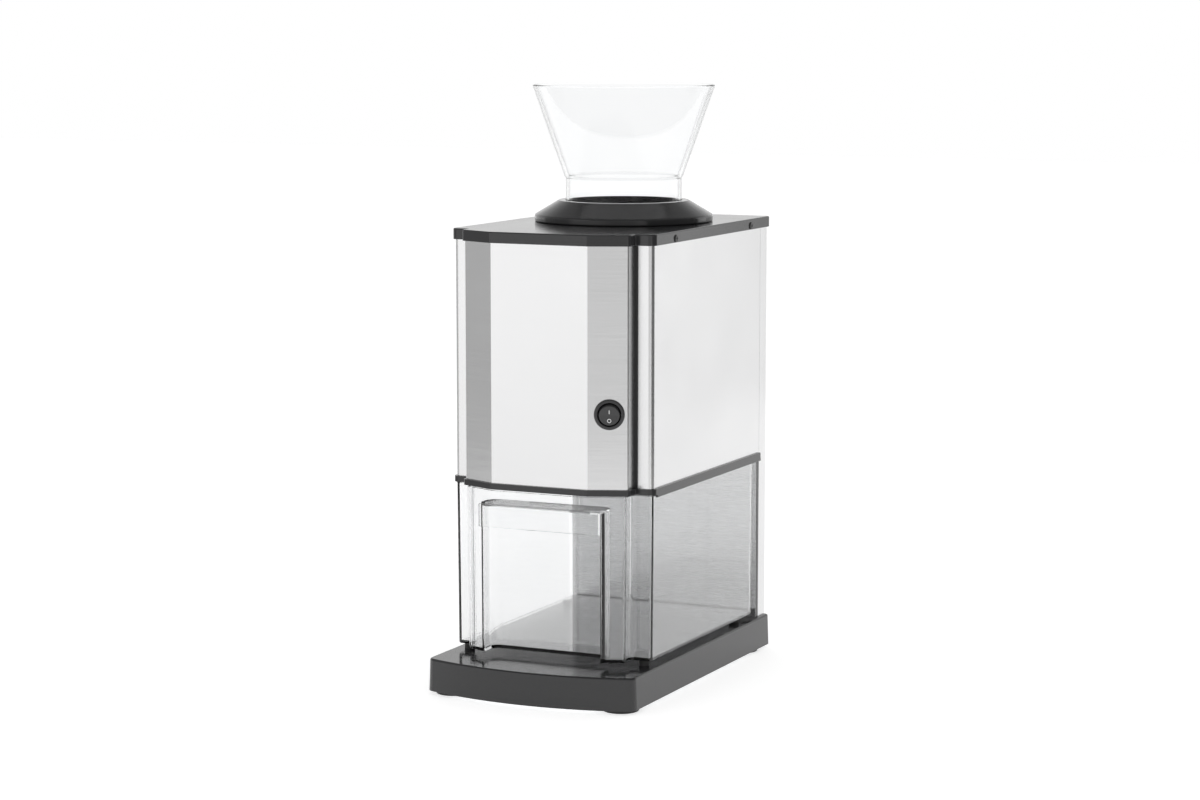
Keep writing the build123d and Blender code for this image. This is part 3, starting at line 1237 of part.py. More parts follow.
with BuildPart() as motor_end_bell:
    with BuildSketch(across(MOTOR_FRONT_Y)):
        with Locations((0, MOTOR_Z)):
            Circle(MOTOR_RADIUS)
    extrude(amount=-(CAN_FRONT_Y - MOTOR_FRONT_Y))
    fillet(motor_end_bell.faces().sort_by(Axis.Y)[0].edges(), 2)
    with BuildSketch(across(CAN_FRONT_Y)):
        with Locations((0, MOTOR_Z)):
            Circle(MOTOR_BORE)
    extrude(amount=BELL, mode=Mode.SUBTRACT)
    with BuildSketch(across(CAN_FRONT_Y)):
        with Locations((0, MOTOR_Z)):
            with PolarLocations(MOTOR_SCREW_RING, 6):
                SlotOverall(10, 4)
    extrude(amount=BELL + 2, mode=Mode.SUBTRACT)
motor_end_bell.part.label = "motor_end_bell"
export_step(motor_end_bell.part, "parts/motor_end_bell.step")

MAGNET_SPLIT = 14.7
with BuildPart() as motor_magnets:
    with BuildSketch(across(CORE_FRONT_Y - 2)):
        with Locations((0, MOTOR_Z)):
            Circle(MOTOR_RADIUS - CAN_WALL - FIT_GAP)
            Circle(CORE_RADIUS + MAGNET_GAP, mode=Mode.SUBTRACT)
            Rectangle(2 * MOTOR_RADIUS, MAGNET_SPLIT, mode=Mode.SUBTRACT)
    extrude(amount=-(CORE_LENGTH + 4))
motor_magnets.part.label = "motor_magnets"
export_step(motor_magnets.part, "parts/motor_magnets.step")

MOTOR_SHAFT_END_Y = -27.0
with BuildPart() as motor_shaft:
    with BuildSketch(across(CAN_FRONT_Y - BELL + 1)):
        with Locations((0, MOTOR_Z)):
            Circle(MOTOR_SHAFT_RADIUS)
    extrude(amount=-(MOTOR_SHAFT_END_Y - CAN_FRONT_Y + BELL - 1))
motor_shaft.part.label = "motor_shaft"
export_step(motor_shaft.part, "parts/motor_shaft.step")

SLOT_FLOOR_RADIUS = 10.0
SLOT_WIDTH = 4.2
SLOT_MOUTH = 1.6
with BuildPart() as armature_core:
    with BuildSketch(across(CORE_FRONT_Y)):
        with Locations((0, MOTOR_Z)):
            Circle(CORE_RADIUS)
            with PolarLocations((SLOT_FLOOR_RADIUS + CORE_RADIUS - 1.5) / 2, CORE_SLOTS):
                RectangleRounded(CORE_RADIUS - 1.5 - SLOT_FLOOR_RADIUS, SLOT_WIDTH, 1, mode=Mode.SUBTRACT)
            with PolarLocations(CORE_RADIUS, CORE_SLOTS):
                Rectangle(5, SLOT_MOUTH, mode=Mode.SUBTRACT)
            Circle(MOTOR_SHAFT_RADIUS + BORE_GAP, mode=Mode.SUBTRACT)
    extrude(amount=-CORE_LENGTH)
armature_core.part.label = "armature_core"
export_step(armature_core.part, "parts/armature_core.step")

WINDING_OUTER = 16.5
WINDING_INNER = 8.0
WINDING_DEPTH = 5.0
with BuildPart() as armature_winding:
    for ring_y in (CORE_FRONT_Y - WINDING_DEPTH, CORE_FRONT_Y + CORE_LENGTH):
        with BuildSketch(across(ring_y)):
            with Locations((0, MOTOR_Z)):
                Circle(WINDING_OUTER)
                Circle(WINDING_INNER, mode=Mode.SUBTRACT)
        extrude(amount=-WINDING_DEPTH)
    fillet(armature_winding.edges().filter_by(GeomType.CIRCLE), 1.8)
    with BuildSketch(across(CORE_FRONT_Y)):
        with Locations((0, MOTOR_Z)):
            with PolarLocations((SLOT_FLOOR_RADIUS + CORE_RADIUS - 1.5) / 2, CORE_SLOTS):
                Rectangle(CORE_RADIUS - 3.5 - SLOT_FLOOR_RADIUS, SLOT_WIDTH - 1)
    extrude(amount=-CORE_LENGTH)
armature_winding.part.label = "armature_winding"
export_step(armature_winding.part, "parts/armature_winding.step")

COMMUTATOR_RADIUS = 7.5
COMMUTATOR_FRONT_Y = CAN_FRONT_Y + 0.8
COMMUTATOR_BARS = 9
with BuildPart() as commutator:
    with BuildSketch(across(COMMUTATOR_FRONT_Y)):
        with Locations((0, MOTOR_Z)):
            Circle(COMMUTATOR_RADIUS)
            with PolarLocations(COMMUTATOR_RADIUS, COMMUTATOR_BARS, start_angle=10):
                Rectangle(1.6, 0.6, mode=Mode.SUBTRACT)
            Circle(MOTOR_SHAFT_RADIUS + BORE_GAP, mode=Mode.SUBTRACT)
    extrude(amount=-(CORE_FRONT_Y - WINDING_DEPTH - 0.4 - COMMUTATOR_FRONT_Y))
commutator.part.label = "commutator"
export_step(commutator.part, "parts/commutator.step")

BRUSH_WIDTH = 4.0
BRUSH_LENGTH = 3.6
BRUSH_GAP = 0.3
with BuildPart() as motor_brushes:
    with BuildSketch(Plane.YZ.offset(COMMUTATOR_RADIUS + BRUSH_GAP)):
        with Locations((COMMUTATOR_FRONT_Y + 0.2 + BRUSH_LENGTH / 2, MOTOR_Z)):
            Rectangle(BRUSH_LENGTH, BRUSH_WIDTH)
    extrude(amount=MOTOR_RADIUS - CAN_WALL - 0.3 - COMMUTATOR_RADIUS - BRUSH_GAP)
    mirror(about=Plane.YZ)
motor_brushes.part.label = "motor_brushes"
export_step(motor_brushes.part, "parts/motor_brushes.step")

# Identical hex-head screws: plate feet, comb rails and motor
HEX_HEAD_RADIUS = 4.0
HEX_HEAD = 2.8
with BuildPart() as hex_screws:
    with BuildSketch(Plane.XY.offset(FLOOR_TOP_Z + PLATE)):
        with Locations(*FRONT_FOOT_SPOTS, *REAR_FOOT_SPOTS):
            RegularPolygon(HEX_HEAD_RADIUS, 6)
    extrude(amount=HEX_HEAD)
    with BuildSketch(Plane.XY.offset(FLOOR_TOP_Z + PLATE)):
        with Locations(*FRONT_FOOT_SPOTS, *REAR_FOOT_SPOTS):
            Circle(PLATE_SCREW_RADIUS)
    extrude(amount=FIT_GAP - PLATE)
    with BuildSketch(Plane.YZ.offset(CHAMBER_X + CHAMBER_WALL)):
        with Locations(*COMB_SCREW_SPOTS):
            RegularPolygon(HEX_HEAD_RADIUS, 6)
    extrude(amount=HEX_HEAD)
    with BuildSketch(Plane.YZ.offset(CHAMBER_X + CHAMBER_WALL)):
        with Locations(*COMB_SCREW_SPOTS):
            Circle(COMB_SCREW_RADIUS)
    extrude(amount=-(CHAMBER_WALL + COMB_RAIL - 0.5))
    with BuildSketch(Plane.YZ.offset(-CHAMBER_X - CHAMBER_WALL)):
        with Locations(*COMB_SCREW_SPOTS):
            RegularPolygon(HEX_HEAD_RADIUS, 6)
    extrude(amount=-HEX_HEAD)
    with BuildSketch(Plane.YZ.offset(-CHAMBER_X - CHAMBER_WALL)):
        with Locations(*COMB_SCREW_SPOTS):
            Circle(COMB_SCREW_RADIUS)
    extrude(amount=CHAMBER_WALL + COMB_RAIL - 0.5)
    with BuildSketch(across(GEAR_PLATE_Y + PLATE)):
        with Locations((0, MOTOR_Z)):
            with PolarLocations(MOTOR_SCREW_RING, 4, start_angle=45):
                RegularPolygon(HEX_HEAD_RADIUS, 6)
    extrude(amount=-HEX_HEAD)
    with BuildSketch(across(GEAR_PLATE_Y + PLATE)):
        with Locations((0, MOTOR_Z)):
            with PolarLocations(MOTOR_SCREW_RING, 4, start_angle=45):
                Circle(MOTOR_SCREW_RADIUS)
    extrude(amount=PLATE + BELL - 0.5)
hex_screws.part.label = "hex_screws"
export_step(hex_screws.part, "parts/hex_screws.step")

# ================================================================ rocker switch
BEZEL_PROUD = 2.2
SWITCH_BORE = 9.0
SWITCH_DEPTH = 14.0
SWITCH_CAVITY = 9.0
PIVOT_DEPTH = 1.6
PIVOT_PIN_RADIUS = 1.2
PIN_TIP = 9.7
ROCKER_SPHERE = 8.6
ROCKER_CREST = 3.9
ROCKER_BACK = 5.0
ROCKER_DISH = 5.0
PIVOT_PLANE = SWITCH_PLANE.offset(-PIVOT_DEPTH)
PIN_PLANE = Plane(origin=PIVOT_PLANE.origin, x_dir=PIVOT_PLANE.z_dir, z_dir=PIVOT_PLANE.x_dir)

with BuildPart() as switch_housing:
    with BuildSketch(SWITCH_PLANE):
        Circle(BEZEL_RADIUS)
    extrude(amount=BEZEL_PROUD)
    fillet(switch_housing.faces().sort_by(Axis(SWITCH_PLANE.origin, SWITCH_PLANE.z_dir))[-1].edges(), 1.3)
    with BuildSketch(SWITCH_PLANE):
        Circle(SWITCH_HOLE_RADIUS)
    extrude(amount=-SWITCH_DEPTH)
    with BuildSketch(SWITCH_PLANE.offset(-SWITCH_CAVITY)):
        Circle(SWITCH_BORE)
    extrude(amount=SWITCH_CAVITY + BEZEL_PROUD, mode=Mode.SUBTRACT)
    with BuildSketch(PIN_PLANE.offset(-SWITCH_HOLE_RADIUS)):
        Circle(PIVOT_PIN_RADIUS + RUNNING_GAP)
    extrude(amount=2 * SWITCH_HOLE_RADIUS, mode=Mode.SUBTRACT)
switch_housing.part.label = "switch_housing"
export_step(switch_housing.part, "parts/switch_housing.step")

with BuildPart() as switch_rocker:
    with BuildSketch(PIN_PLANE.offset(-SWITCH_BORE)):
        with BuildLine():
            Polyline(
                (-ROCKER_BACK, -SWITCH_BORE),
                (ROCKER_CREST + SWITCH_BORE * tan(radians(ROCKER_DISH)), -SWITCH_BORE),
                (ROCKER_CREST, 0),
                (ROCKER_CREST + SWITCH_BORE * tan(radians(ROCKER_DISH)), SWITCH_BORE),
                (-ROCKER_BACK, SWITCH_BORE),
                close=True,
            )
        make_face()
    extrude(amount=2 * SWITCH_BORE)
    with Locations(Location(PIVOT_PLANE)):
        Sphere(ROCKER_SPHERE, mode=Mode.INTERSECT)
    fillet(switch_rocker.faces().sort_by(Axis(PIVOT_PLANE.origin, PIVOT_PLANE.z_dir))[-2:].edges(), 0.35)
    with BuildSketch(PIN_PLANE.offset(-PIN_TIP)):
        Circle(PIVOT_PIN_RADIUS)
    extrude(amount=2 * PIN_TIP)
switch_rocker_off = switch_rocker.part.rotate(Axis(PIVOT_PLANE.origin, PIVOT_PLANE.x_dir), ROCKER_TILT)
switch_rocker_off.label = "switch_rocker"
export_step(switch_rocker_off, "parts/switch_rocker.step")

# ================================================================ internal leads
MAINS_LEAD_RADIUS = 1.6
MOTOR_LEAD_RADIUS = 1.6
LEAD_Y = 131.3
LEAD_SIDE_X = 66.0
LEAD_START_GAP = 1.0


def behind_switch(distance, height):
    """Point straight behind the switch, at a height above its centre."""
    spot = SWITCH_PLANE.offset(-distance).origin
    return (spot.X, spot.Y, spot.Z + height)


def lead(points, radius):
    """Round lead along straight runs joined by arcs as large as the runs allow."""
    vectors = [Vector(point) for point in points]
    bends = []
    for before, here, after in zip(vectors, vectors[1:], vectors[2:]):
        run_in = here - before
        run_out = after - here
        half_turn = radians(run_in.get_angle(run_out)) / 2
        bends.append(0.45 * min(run_in.length, run_out.length) / tan(half_turn))
    with BuildPart() as tube:
        with BuildLine() as route:
            FilletPolyline(*points, radius=bends)
        with BuildSketch(Plane(origin=route.line @ 0, z_dir=route.line % 0)):
            Circle(radius)
        sweep()
    return tube.part


MAINS_LEAD_POINTS = [
    (GLAND_X, REAR_Y - GLAND_LENGTH - LEAD_START_GAP, GLAND_Z),
    (GLAND_X, LEAD_Y, GLAND_Z + 0.5),
    (GLAND_X, LEAD_Y, LEAD_HIGH_Z),
    (GLAND_X + 4, LEAD_Y - 18, LEAD_HIGH_Z + 2),
    (LEAD_SIDE_X, LEAD_Y - 40, LEAD_HIGH_Z),
    (LEAD_SIDE_X, FRONT_PLATE_Y, LEAD_HIGH_Z - 8),
    (LEAD_SIDE_X - 4, GEAR_PLATE_Y - 14, LEAD_HIGH_Z - 40),
    behind_switch(36, 3),
    behind_switch(SWITCH_DEPTH, 3),
]
MOTOR_LEAD_POINTS = [
    behind_switch(SWITCH_DEPTH, -5),
    behind_switch(24, -5),
    (MOTOR_RADIUS + 10, -72, MOTOR_Z),
    (MOTOR_RADIUS + 0.1, -72, MOTOR_Z),
]
with BuildPart() as internal_leads:
    add(lead(MAINS_LEAD_POINTS, MAINS_LEAD_RADIUS))
    add(lead(MOTOR_LEAD_POINTS, MOTOR_LEAD_RADIUS))
internal_leads.part.label = "internal_leads"
export_step(internal_leads.part, "parts/internal_leads.step")
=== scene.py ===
import json
import math

import bmesh
import bpy
from mathutils import Matrix, Vector


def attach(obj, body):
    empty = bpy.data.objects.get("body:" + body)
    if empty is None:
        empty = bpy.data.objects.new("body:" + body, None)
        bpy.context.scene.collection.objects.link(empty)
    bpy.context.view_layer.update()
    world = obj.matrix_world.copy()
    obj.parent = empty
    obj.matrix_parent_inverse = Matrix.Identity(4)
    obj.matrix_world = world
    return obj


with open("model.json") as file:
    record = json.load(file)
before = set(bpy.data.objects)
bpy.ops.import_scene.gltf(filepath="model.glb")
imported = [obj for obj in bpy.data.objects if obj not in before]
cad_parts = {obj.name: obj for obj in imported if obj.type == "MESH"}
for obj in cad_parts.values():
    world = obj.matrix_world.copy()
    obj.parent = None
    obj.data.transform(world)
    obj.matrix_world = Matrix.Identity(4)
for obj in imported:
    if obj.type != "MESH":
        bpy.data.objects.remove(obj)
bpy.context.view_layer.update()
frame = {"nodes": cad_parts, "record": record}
NODES = frame["nodes"]


# ---------------------------------------------------------------- shader helpers
def add_node(tree, kind, inputs=None, **attributes):
    """A new node; an input is either a value or the socket that feeds it."""
    made = tree.nodes.new(kind)
    for key, value in attributes.items():
        setattr(made, key, value)
    for key, value in (inputs or {}).items():
        if isinstance(value, bpy.types.NodeSocket):
            tree.links.new(value, made.inputs[key])
        else:
            made.inputs[key].default_value = value
    return made


def noise(tree, place, scale, detail=3.0, roughness=0.5, stretch=(1, 1, 1)):
    """Noise in the row frame's metres, squeezed along the axes by stretch."""
    mapped = add_node(tree, "ShaderNodeMapping", {"Vector": place, "Scale": stretch})
    texture = add_node(
        tree,
        "ShaderNodeTexNoise",
        {"Vector": mapped.outputs["Vector"], "Scale": scale, "Detail": detail, "Roughness": roughness},
    )
    return texture.outputs["Fac"]


def spread(tree, value, low, high, start=0.3, end=0.7):
    """The value from start to end, laid over low to high."""
    made = add_node(
        tree,
        "ShaderNodeMapRange",
        {"Value": value, "From Min": start, "From Max": end, "To Min": low, "To Max": high},
    )
    return made.outputs["Result"]


def tint(tree, factor, dark, light):
    """Colour between dark and light."""
    made = add_node(tree, "ShaderNodeMix", {"Factor": factor}, data_type="RGBA")
    made.inputs[6].default_value = (*dark, 1)
    made.inputs[7].default_value = (*light, 1)
    return made.outputs[2]


def edges(tree, radius):
    """1 along sharp edges and 0 on flats, from the normal rounded over the radius."""
    rounded = add_node(tree, "ShaderNodeBevel", {"Radius": radius}, samples=4)
    plain = add_node(tree, "ShaderNodeNewGeometry")
    dot = add_node(tree, "ShaderNodeVectorMath", operation="DOT_PRODUCT")
    tree.links.new(rounded.outputs["Normal"], dot.inputs[0])
    tree.links.new(plain.outputs["Normal"], dot.inputs[1])
    return spread(tree, dot.outputs["Value"], 1, 0, 0.90, 0.995), rounded.outputs["Normal"]


def finish(name, dark, light, rough, grain, metallic=0.0, bump=0.1, smudge=12.0, edge=0.0003,
           stretch=(1, 1, 1), wear=None, distance=0.0002, **sockets):
    """Surface with fine grain, slow roughness changes, rounded edges and worn edge colour.

    Sockets are constants that go straight onto the shader.
    """
    made = bpy.data.materials.new(name)
    made.use_nodes = True
    tree = made.node_tree
    shader = tree.nodes["Principled BSDF"]
    place = add_node(tree, "ShaderNodeTexCoord").outputs["Object"]
    fine = noise(tree, place, grain, 4, 0.6, stretch)
    slow = noise(tree, place, smudge, 2, 0.5)
    edge_mask, rounded = edges(tree, edge)
    colour = tint(tree, spread(tree, fine, 0, 1), dark, light)
    if wear:
        patchy = spread(tree, slow, 0.2, 1)
        worn = add_node(tree, "ShaderNodeMath", {0: edge_mask, 1: patchy}, operation="MULTIPLY")
        mixed = add_node(tree, "ShaderNodeMix", {"Factor": worn.outputs[0]}, data_type="RGBA")
        tree.links.new(colour, mixed.inputs[6])
        mixed.inputs[7].default_value = (*wear, 1)
        colour = mixed.outputs[2]
    tree.links.new(colour, shader.inputs["Base Color"])
    both = add_node(tree, "ShaderNodeMath", {0: fine, 1: slow}, operation="ADD")
    roughness = spread(tree, both.outputs[0], rough[0], rough[1], 0.7, 1.3)
    tree.links.new(roughness, shader.inputs["Roughness"])
    relief = add_node(
        tree,
        "ShaderNodeBump",
        {"Strength": bump, "Distance": distance, "Height": fine, "Normal": rounded},
    )
    tree.links.new(relief.outputs["Normal"], shader.inputs["Normal"])
    shader.inputs["Metallic"].default_value = metallic
    for socket, value in sockets.items():
        shader.inputs[socket.replace("_", " ")].default_value = value
    return made


BRUSH_SQUEEZE = 0.010


def brushed(name, dark, light, rough, along, anisotropic=0.5, bump=0.04):
    """Metal brushed along the named axes: long streaks that way, fine across them."""
    stretch = tuple(BRUSH_SQUEEZE if axis in along else 1 for axis in "XYZ")
    made = finish(name, dark, light, rough, 2400, metallic=1.0, bump=bump, stretch=stretch,
                  distance=0.00003, Anisotropic=anisotropic)
    tree = made.node_tree
    tangent = add_node(tree, "ShaderNodeTangent", direction_type="RADIAL", axis="Z")
    tree.links.new(tangent.outputs["Tangent"], tree.nodes["Principled BSDF"].inputs["Tangent"])
    return made


# Painted shade: a clear moulding's colour where its wall is seen edge on, a dark grey standing in for
# the outline that reflection and refraction give there; and the tint of light that crosses it
PAINTED_EDGE_SHADE = (0.05, 0.05, 0.052)
DEPTH_GREY = (0.50, 0.52, 0.53)


def clear(name, bend, density, coat):
    """Polished clear moulding with faintly rubbed patches, and painted shade: dark grey painted into its
    colour where its wall is seen edge on.

    Bend is the refractive index, and density how strongly the wall greys the light that crosses it.
    """
    made = bpy.data.materials.new(name)
    made.use_nodes = True
    tree = made.node_tree
    shader = tree.nodes["Principled BSDF"]
    place = add_node(tree, "ShaderNodeTexCoord").outputs["Object"]
    slow = noise(tree, place, 25, 3)
    flat = tint(tree, spread(tree, slow, 0, 1), (0.978, 0.982, 0.985), (0.992, 0.994, 0.996))
    # Painted shade: the colour is blended to dark grey where the wall is seen edge on, in place of the
    # dark outline light gives there
    slant = add_node(tree, "ShaderNodeLayerWeight", {"Blend": 0.5}).outputs["Facing"]
    painted_shade_mask = spread(tree, slant, 0, 1, 0.70, 0.97)
    shaded_rim = add_node(tree, "ShaderNodeMix", {"Factor": painted_shade_mask}, data_type="RGBA")
    tree.links.new(flat, shaded_rim.inputs[6])
    shaded_rim.inputs[7].default_value = (*PAINTED_EDGE_SHADE, 1)
    tree.links.new(shaded_rim.outputs[2], shader.inputs["Base Color"])
    tree.links.new(spread(tree, slow, 0.012, 0.05), shader.inputs["Roughness"])
    shader.inputs["Transmission Weight"].default_value = 1.0
    shader.inputs["IOR"].default_value = bend
    shader.inputs["Coat Weight"].default_value = coat
    shader.inputs["Coat Roughness"].default_value = 0.04
    depth = add_node(
        tree, "ShaderNodeVolumeAbsorption", {"Color": (*DEPTH_GREY, 1), "Density": density}
    )
    tree.links.new(depth.outputs["Volume"], tree.nodes["Material Output"].inputs["Volume"])
    return made


def wound(name, dark, light):
    """Enamelled wire: fine parallel turns across Y."""
    made = finish(name, dark, light, (0.25, 0.4), 300, metallic=0.9, bump=0.1)
    tree = made.node_tree
    place = add_node(tree, "ShaderNodeTexCoord").outputs["Object"]
    turns = add_node(tree, "ShaderNodeTexWave", {"Vector": place, "Scale": 500.0, "Distortion": 1.0},
                     bands_direction="Y")
    relief = add_node(
        tree, "ShaderNodeBump", {"Strength": 0.8, "Distance": 0.0002, "Height": turns.outputs["Fac"]}
    )
    tree.links.new(relief.outputs["Normal"], tree.nodes["Principled BSDF"].inputs["Normal"])
    return made


# ---------------------------------------------------------------- materials, one per record slot
FINISHES = {
    "steel_panel": brushed(
        "steel_panel", (0.70, 0.70, 0.703), (0.74, 0.74, 0.742), (0.20, 0.27), "XY", bump=0.02,
    ),
    "black_plastic": finish(
        "black_plastic", (0.018, 0.018, 0.019), (0.026, 0.026, 0.027), (0.11, 0.18), 2200,
        bump=0.06, edge=0.0006, wear=(0.09, 0.09, 0.09), distance=0.00008, Specular_IOR_Level=0.5,
    ),
    "dark_trim": finish(
        "dark_trim", (0.014, 0.014, 0.014), (0.022, 0.022, 0.022), (0.42, 0.58), 1800,
        wear=(0.05, 0.05, 0.05),
    ),
    "black_rubber": finish(
        "black_rubber", (0.012, 0.012, 0.012), (0.022, 0.022, 0.021), (0.65, 0.85), 1500, bump=0.35,
        Sheen_Weight=0.15, Sheen_Roughness=0.5,
    ),
    "switch_black": finish(
        "switch_black", (0.020, 0.020, 0.021), (0.030, 0.030, 0.031), (0.16, 0.26), 2600, bump=0.05,
        edge=0.0005, wear=(0.06, 0.06, 0.06), Coat_Weight=0.15,
    ),
    "clear_plastic": clear("clear_plastic", bend=1.27, density=8.0, coat=0.6),
    "zinc_screw": finish(
        "zinc_screw", (0.48, 0.48, 0.50), (0.68, 0.68, 0.69), (0.24, 0.38), 900, metallic=1.0,
        wear=(0.82, 0.82, 0.82),
    ),
    "black_screw": finish(
        "black_screw", (0.020, 0.020, 0.020), (0.035, 0.035, 0.035), (0.25, 0.40), 1400,
        wear=(0.10, 0.10, 0.10),
    ),
    "zinc_plate": finish(
        "zinc_plate", (0.50, 0.51, 0.52), (0.66, 0.67, 0.68), (0.32, 0.50), 160, metallic=1.0,
        bump=0.08, smudge=40,
    ),
    "cast_aluminium": finish(
        "cast_aluminium", (0.55, 0.55, 0.56), (0.72, 0.73, 0.74), (0.42, 0.60), 1300, metallic=1.0,
        bump=0.5,
    ),
    "white_plastic": finish(
        "white_plastic", (0.78, 0.78, 0.75), (0.86, 0.86, 0.84), (0.30, 0.45), 1500,
        Subsurface_Weight=0.05,
    ),
    "blade_steel": brushed(
        "blade_steel", (0.58, 0.58, 0.59), (0.78, 0.78, 0.79), (0.18, 0.30), "X",
        anisotropic=0.3, bump=0.2,
    ),
    "gear_steel": finish(
        "gear_steel", (0.36, 0.36, 0.37), (0.54, 0.54, 0.55), (0.20, 0.38), 1100, metallic=1.0,
        bump=0.2, wear=(0.75, 0.75, 0.75), Coat_Weight=0.3,
    ),
    "bronze": finish(
        "bronze", (0.42, 0.28, 0.13), (0.62, 0.44, 0.24), (0.30, 0.48), 2400, metallic=1.0,
        bump=0.3,
    ),
    "copper": wound("copper", (0.50, 0.22, 0.09), (0.78, 0.40, 0.20)),
    "dark_ceramic": finish(
        "dark_ceramic", (0.05, 0.05, 0.05), (0.10, 0.10, 0.10), (0.55, 0.75), 1900, bump=0.3,
    ),
    "lead_sleeve": finish(
        "lead_sleeve", (0.03, 0.03, 0.035), (0.05, 0.05, 0.055), (0.40, 0.55), 1200,
    ),
}
MARK_WHITE = finish("mark_white", (0.74, 0.74, 0.74), (0.84, 0.84, 0.84), (0.35, 0.50), 2500, bump=0.05)

for entry in frame["record"]["subparts"]:
    shown = NODES[entry["node"]]
    shown.data.materials.clear()
    shown.data.materials.append(FINISHES[entry["material_slot"]])

# Two nodes look different from the others in their slot. The bay's rear wall is a darker copy of the
# panel steel, painted shade for the wall set back in the bay.
OWN_FINISHES = {
    # Painted shade: the same brushed steel painted darker because the bay's wall sits in shade
    "bay_rear_wall": brushed(
        "bay_steel_painted_shade", (0.43, 0.43, 0.435), (0.52, 0.52, 0.522), (0.22, 0.30), "XY", bump=0.01,
    ),
    "hopper": clear("clear_hopper", bend=1.17, density=12.0, coat=0.1),
}
for name, own in OWN_FINISHES.items():
    NODES[name].data.materials.clear()
    NODES[name].data.materials.append(own)


# ---------------------------------------------------------------- marks on the rocker
def facing(direction):
    """Rotation that turns local Z to the direction and keeps local Y as near up as it can."""
    out = direction.normalized()
    right = Vector((0, 0, 1)).cross(out).normalized()
    return Matrix((right, out.cross(right), out)).transposed().to_4x4()


MARK_THICKNESS = 0.00006  # metres


def mark(name, outline, hole, centre, turn):
    """Thin printed mark, from its outer outline and an optional inner one, on both sides of its rim."""
    mesh = bpy.data.meshes.new(name)
    build = bmesh.new()
    loops = []
    for level in (0, MARK_THICKNESS):
        loops.append([build.verts.new((x, y, level)) for x, y in outline])
        if hole:
            loops.append([build.verts.new((x, y, level)) for x, y in hole])
    count = len(outline)
    if hole:
        low_out, low_in, high_out, high_in = loops
        for index in range(count):
            after = (index + 1) % count
            build.faces.new((high_out[index], high_out[after], high_in[after], high_in[index]))
            build.faces.new((low_in[index], low_in[after], low_out[after], low_out[index]))
            build.faces.new((low_out[index], low_out[after], high_out[after], high_out[index]))
            build.faces.new((high_in[index], high_in[after], low_in[after], low_in[index]))
    else:
        low, high = loops
        build.faces.new(high)
        build.faces.new(low[::-1])
        for index in range(count):
            after = (index + 1) % count
            build.faces.new((low[index], low[after], high[after], high[index]))
    build.to_mesh(mesh)
    build.free()
    piece = bpy.data.objects.new(name, mesh)
    bpy.context.collection.objects.link(piece)
    mesh.materials.append(MARK_WHITE)
    piece.matrix_world = Matrix.Translation(centre) @ turn
    bpy.context.view_layer.update()
    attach(piece, "rocker")
    return piece


JOINTS = {joint["name"]: joint for joint in frame["record"]["behaviour"]["joints"]}
ROCKER = JOINTS["rocker_tilt"]
PIVOT = Vector(ROCKER["pos_m"])
ALONG = Vector(ROCKER["axis"])
OUTWARD = Vector((ALONG.y, -ALONG.x, 0))
# The tilt the rocker rests at, and how steeply each half of its front rises from the crest in its middle
REST_TILT = math.radians(8)
DISH = math.radians(5)
CREST = 0.0039  # metres from the pivot to the middle of the front
MARK_LIFT = 0.00002


def rocker_spot(height):
    """Place and turn of a mark on the rocker's front, at a height above its middle before it tilts."""
    side = math.copysign(1, height)
    tilt = Matrix.Rotation(REST_TILT, 3, ALONG)
    place = OUTWARD * (CREST + abs(height) * math.tan(DISH) + MARK_LIFT) + Vector((0, 0, height))
    outward = OUTWARD * math.cos(DISH) - Vector((0, 0, side)) * math.sin(DISH)
    return PIVOT + tilt @ place, facing(tilt @ outward)


def round_line(radius, steps=40):
    turns = [2 * math.pi * i / steps for i in range(steps)]
    return [(radius * math.cos(a), radius * math.sin(a)) for a in turns]


def bar(half_width, half_height, steps=8):
    """Upright stroke with round ends."""
    turns = [math.pi * i / steps for i in range(steps + 1)]
    top = [(half_width * math.cos(a), half_height + half_width * math.sin(a)) for a in turns]
    return top + [(-x, -y) for x, y in top]


STROKE = bar(half_width=0.00028, half_height=0.00120)
mark("mark_on", STROKE, None, *rocker_spot(height=0.0028))
mark("mark_off", round_line(radius=0.00155), round_line(radius=0.00105), *rocker_spot(height=-0.0039))


# ---------------------------------------------------------------- floor, light and camera
def card(name, corners, material):
    """Flat four-sided piece for the surroundings."""
    mesh = bpy.data.meshes.new(name)
    mesh.from_pydata(corners, [], [(0, 1, 2, 3)])
    mesh.materials.append(material)
    made = bpy.data.objects.new(name, mesh)
    bpy.context.collection.objects.link(made)
    return made


FLOOR_HALF = 8.0
WHITE = (1, 1, 1, 1)
floor = card(
    "floor",
    [(x * FLOOR_HALF, y * FLOOR_HALF, 0) for x, y in ((-1, -1), (1, -1), (1, 1), (-1, 1))],
    finish(
        "floor_paper", (0.90, 0.90, 0.90), (0.93, 0.93, 0.93), (0.7, 0.85), 300,
        bump=0.02, Emission_Color=WHITE, Emission_Strength=0.64,
    ),
)


def softbox(name, place, target, width, height, power):
    """Rectangular studio light that faces the target."""
    lamp = bpy.data.lights.new(name, "AREA")
    lamp.shape = "RECTANGLE"
    lamp.size = width
    lamp.size_y = height
    lamp.energy = power
    made = bpy.data.objects.new(name, lamp)
    bpy.context.collection.objects.link(made)
    made.location = place
    made.rotation_euler = (Vector(target) - Vector(place)).to_track_quat("-Z", "Y").to_euler()
    made.visible_camera = False
    return made


MIDDLE = (0.0, 0.0, 0.22)
softbox("key_front_left", (-0.72, -1.55, 0.62), MIDDLE, width=1.2, height=1.2, power=0.9)
overhead = softbox("overhead", (0.0, 0.3, 2.4), MIDDLE, width=2.6, height=2.6, power=6)
overhead.visible_glossy = False
softbox("back_right", (0.75, 1.6, 0.52), MIDDLE, width=1.1, height=1.0, power=0.9)


# Height of a flag's top and of its foot above the floor, in metres
FLAG_HEIGHT = 0.9
FLAG_LIFT = 0.001


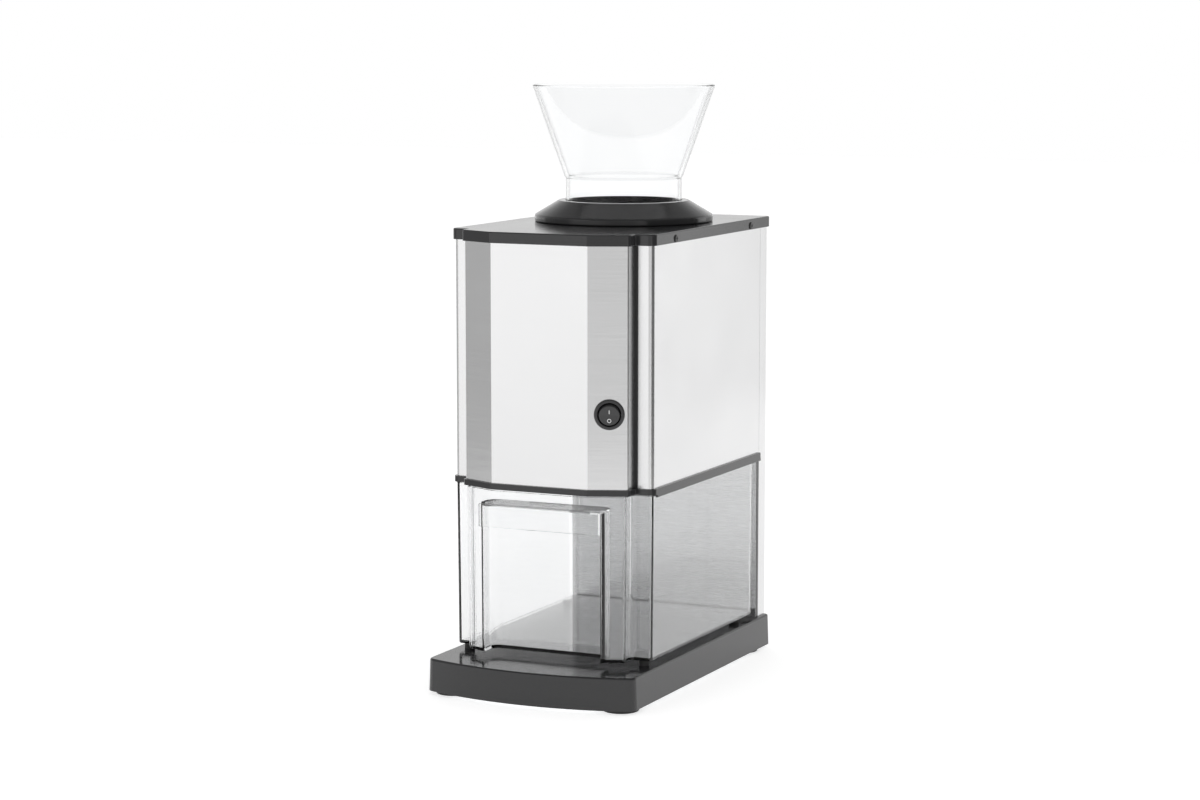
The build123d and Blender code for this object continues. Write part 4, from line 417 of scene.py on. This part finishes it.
def flag(name, azimuth, distance, width, level):
    """Upright grey card that only reflections see, standing on the floor."""
    half = width / 2
    corners = [
        (-half, 0, FLAG_LIFT),
        (half, 0, FLAG_LIFT),
        (half, 0, FLAG_HEIGHT),
        (-half, 0, FLAG_HEIGHT),
    ]
    paper = bpy.data.materials.new(name)
    paper.use_nodes = True
    tree = paper.node_tree
    tree.nodes.remove(tree.nodes["Principled BSDF"])
    glow = add_node(tree, "ShaderNodeEmission", {"Strength": level})
    tree.links.new(glow.outputs["Emission"], tree.nodes["Material Output"].inputs["Surface"])
    made = card(name, corners, paper)
    around = math.radians(azimuth)
    made.location = (distance * math.cos(around), distance * math.sin(around), 0)
    made.rotation_euler = (0, 0, around + math.pi / 2)
    made.visible_camera = False
    made.visible_diffuse = False
    made.visible_shadow = False
    made.visible_transmission = False


flag("flag_left", azimuth=-163, distance=0.85, width=0.75, level=0.50)
flag("flag_right", azimuth=5, distance=0.85, width=1.43, level=0.14)
flag("flag_back", azimuth=78, distance=1.75, width=0.74, level=0.88)
flag("flag_camera", azimuth=-68, distance=1.1, width=0.75, level=0.74)

world = bpy.data.worlds.new("studio")
bpy.context.scene.world = world
world.use_nodes = True
sky = world.node_tree
direction = add_node(sky, "ShaderNodeTexCoord").outputs["Generated"]
climb = add_node(sky, "ShaderNodeSeparateXYZ", {"Vector": direction}).outputs["Z"]
sky.nodes["Background"].inputs["Color"].default_value = WHITE
# Bright at the horizon and dimmer overhead
strength = spread(sky, climb, low=1.0, high=0.34, start=0.18, end=0.60)
sky.links.new(strength, sky.nodes["Background"].inputs["Strength"])

camera_data = bpy.data.cameras.new("camera")
camera_data.lens = 90.34
camera_data.sensor_width = 36.0
camera_data.clip_end = 50
camera = bpy.data.objects.new("camera", camera_data)
bpy.context.collection.objects.link(camera)
camera.location = (0.98339, -2.10954, 0.51649)
AZIMUTH = math.radians(25.00)
PITCH = math.radians(7.364)
camera.rotation_euler = (math.pi / 2 - PITCH, 0, AZIMUTH)
bpy.context.scene.camera = camera
bpy.context.scene.view_settings.view_transform = "Standard"
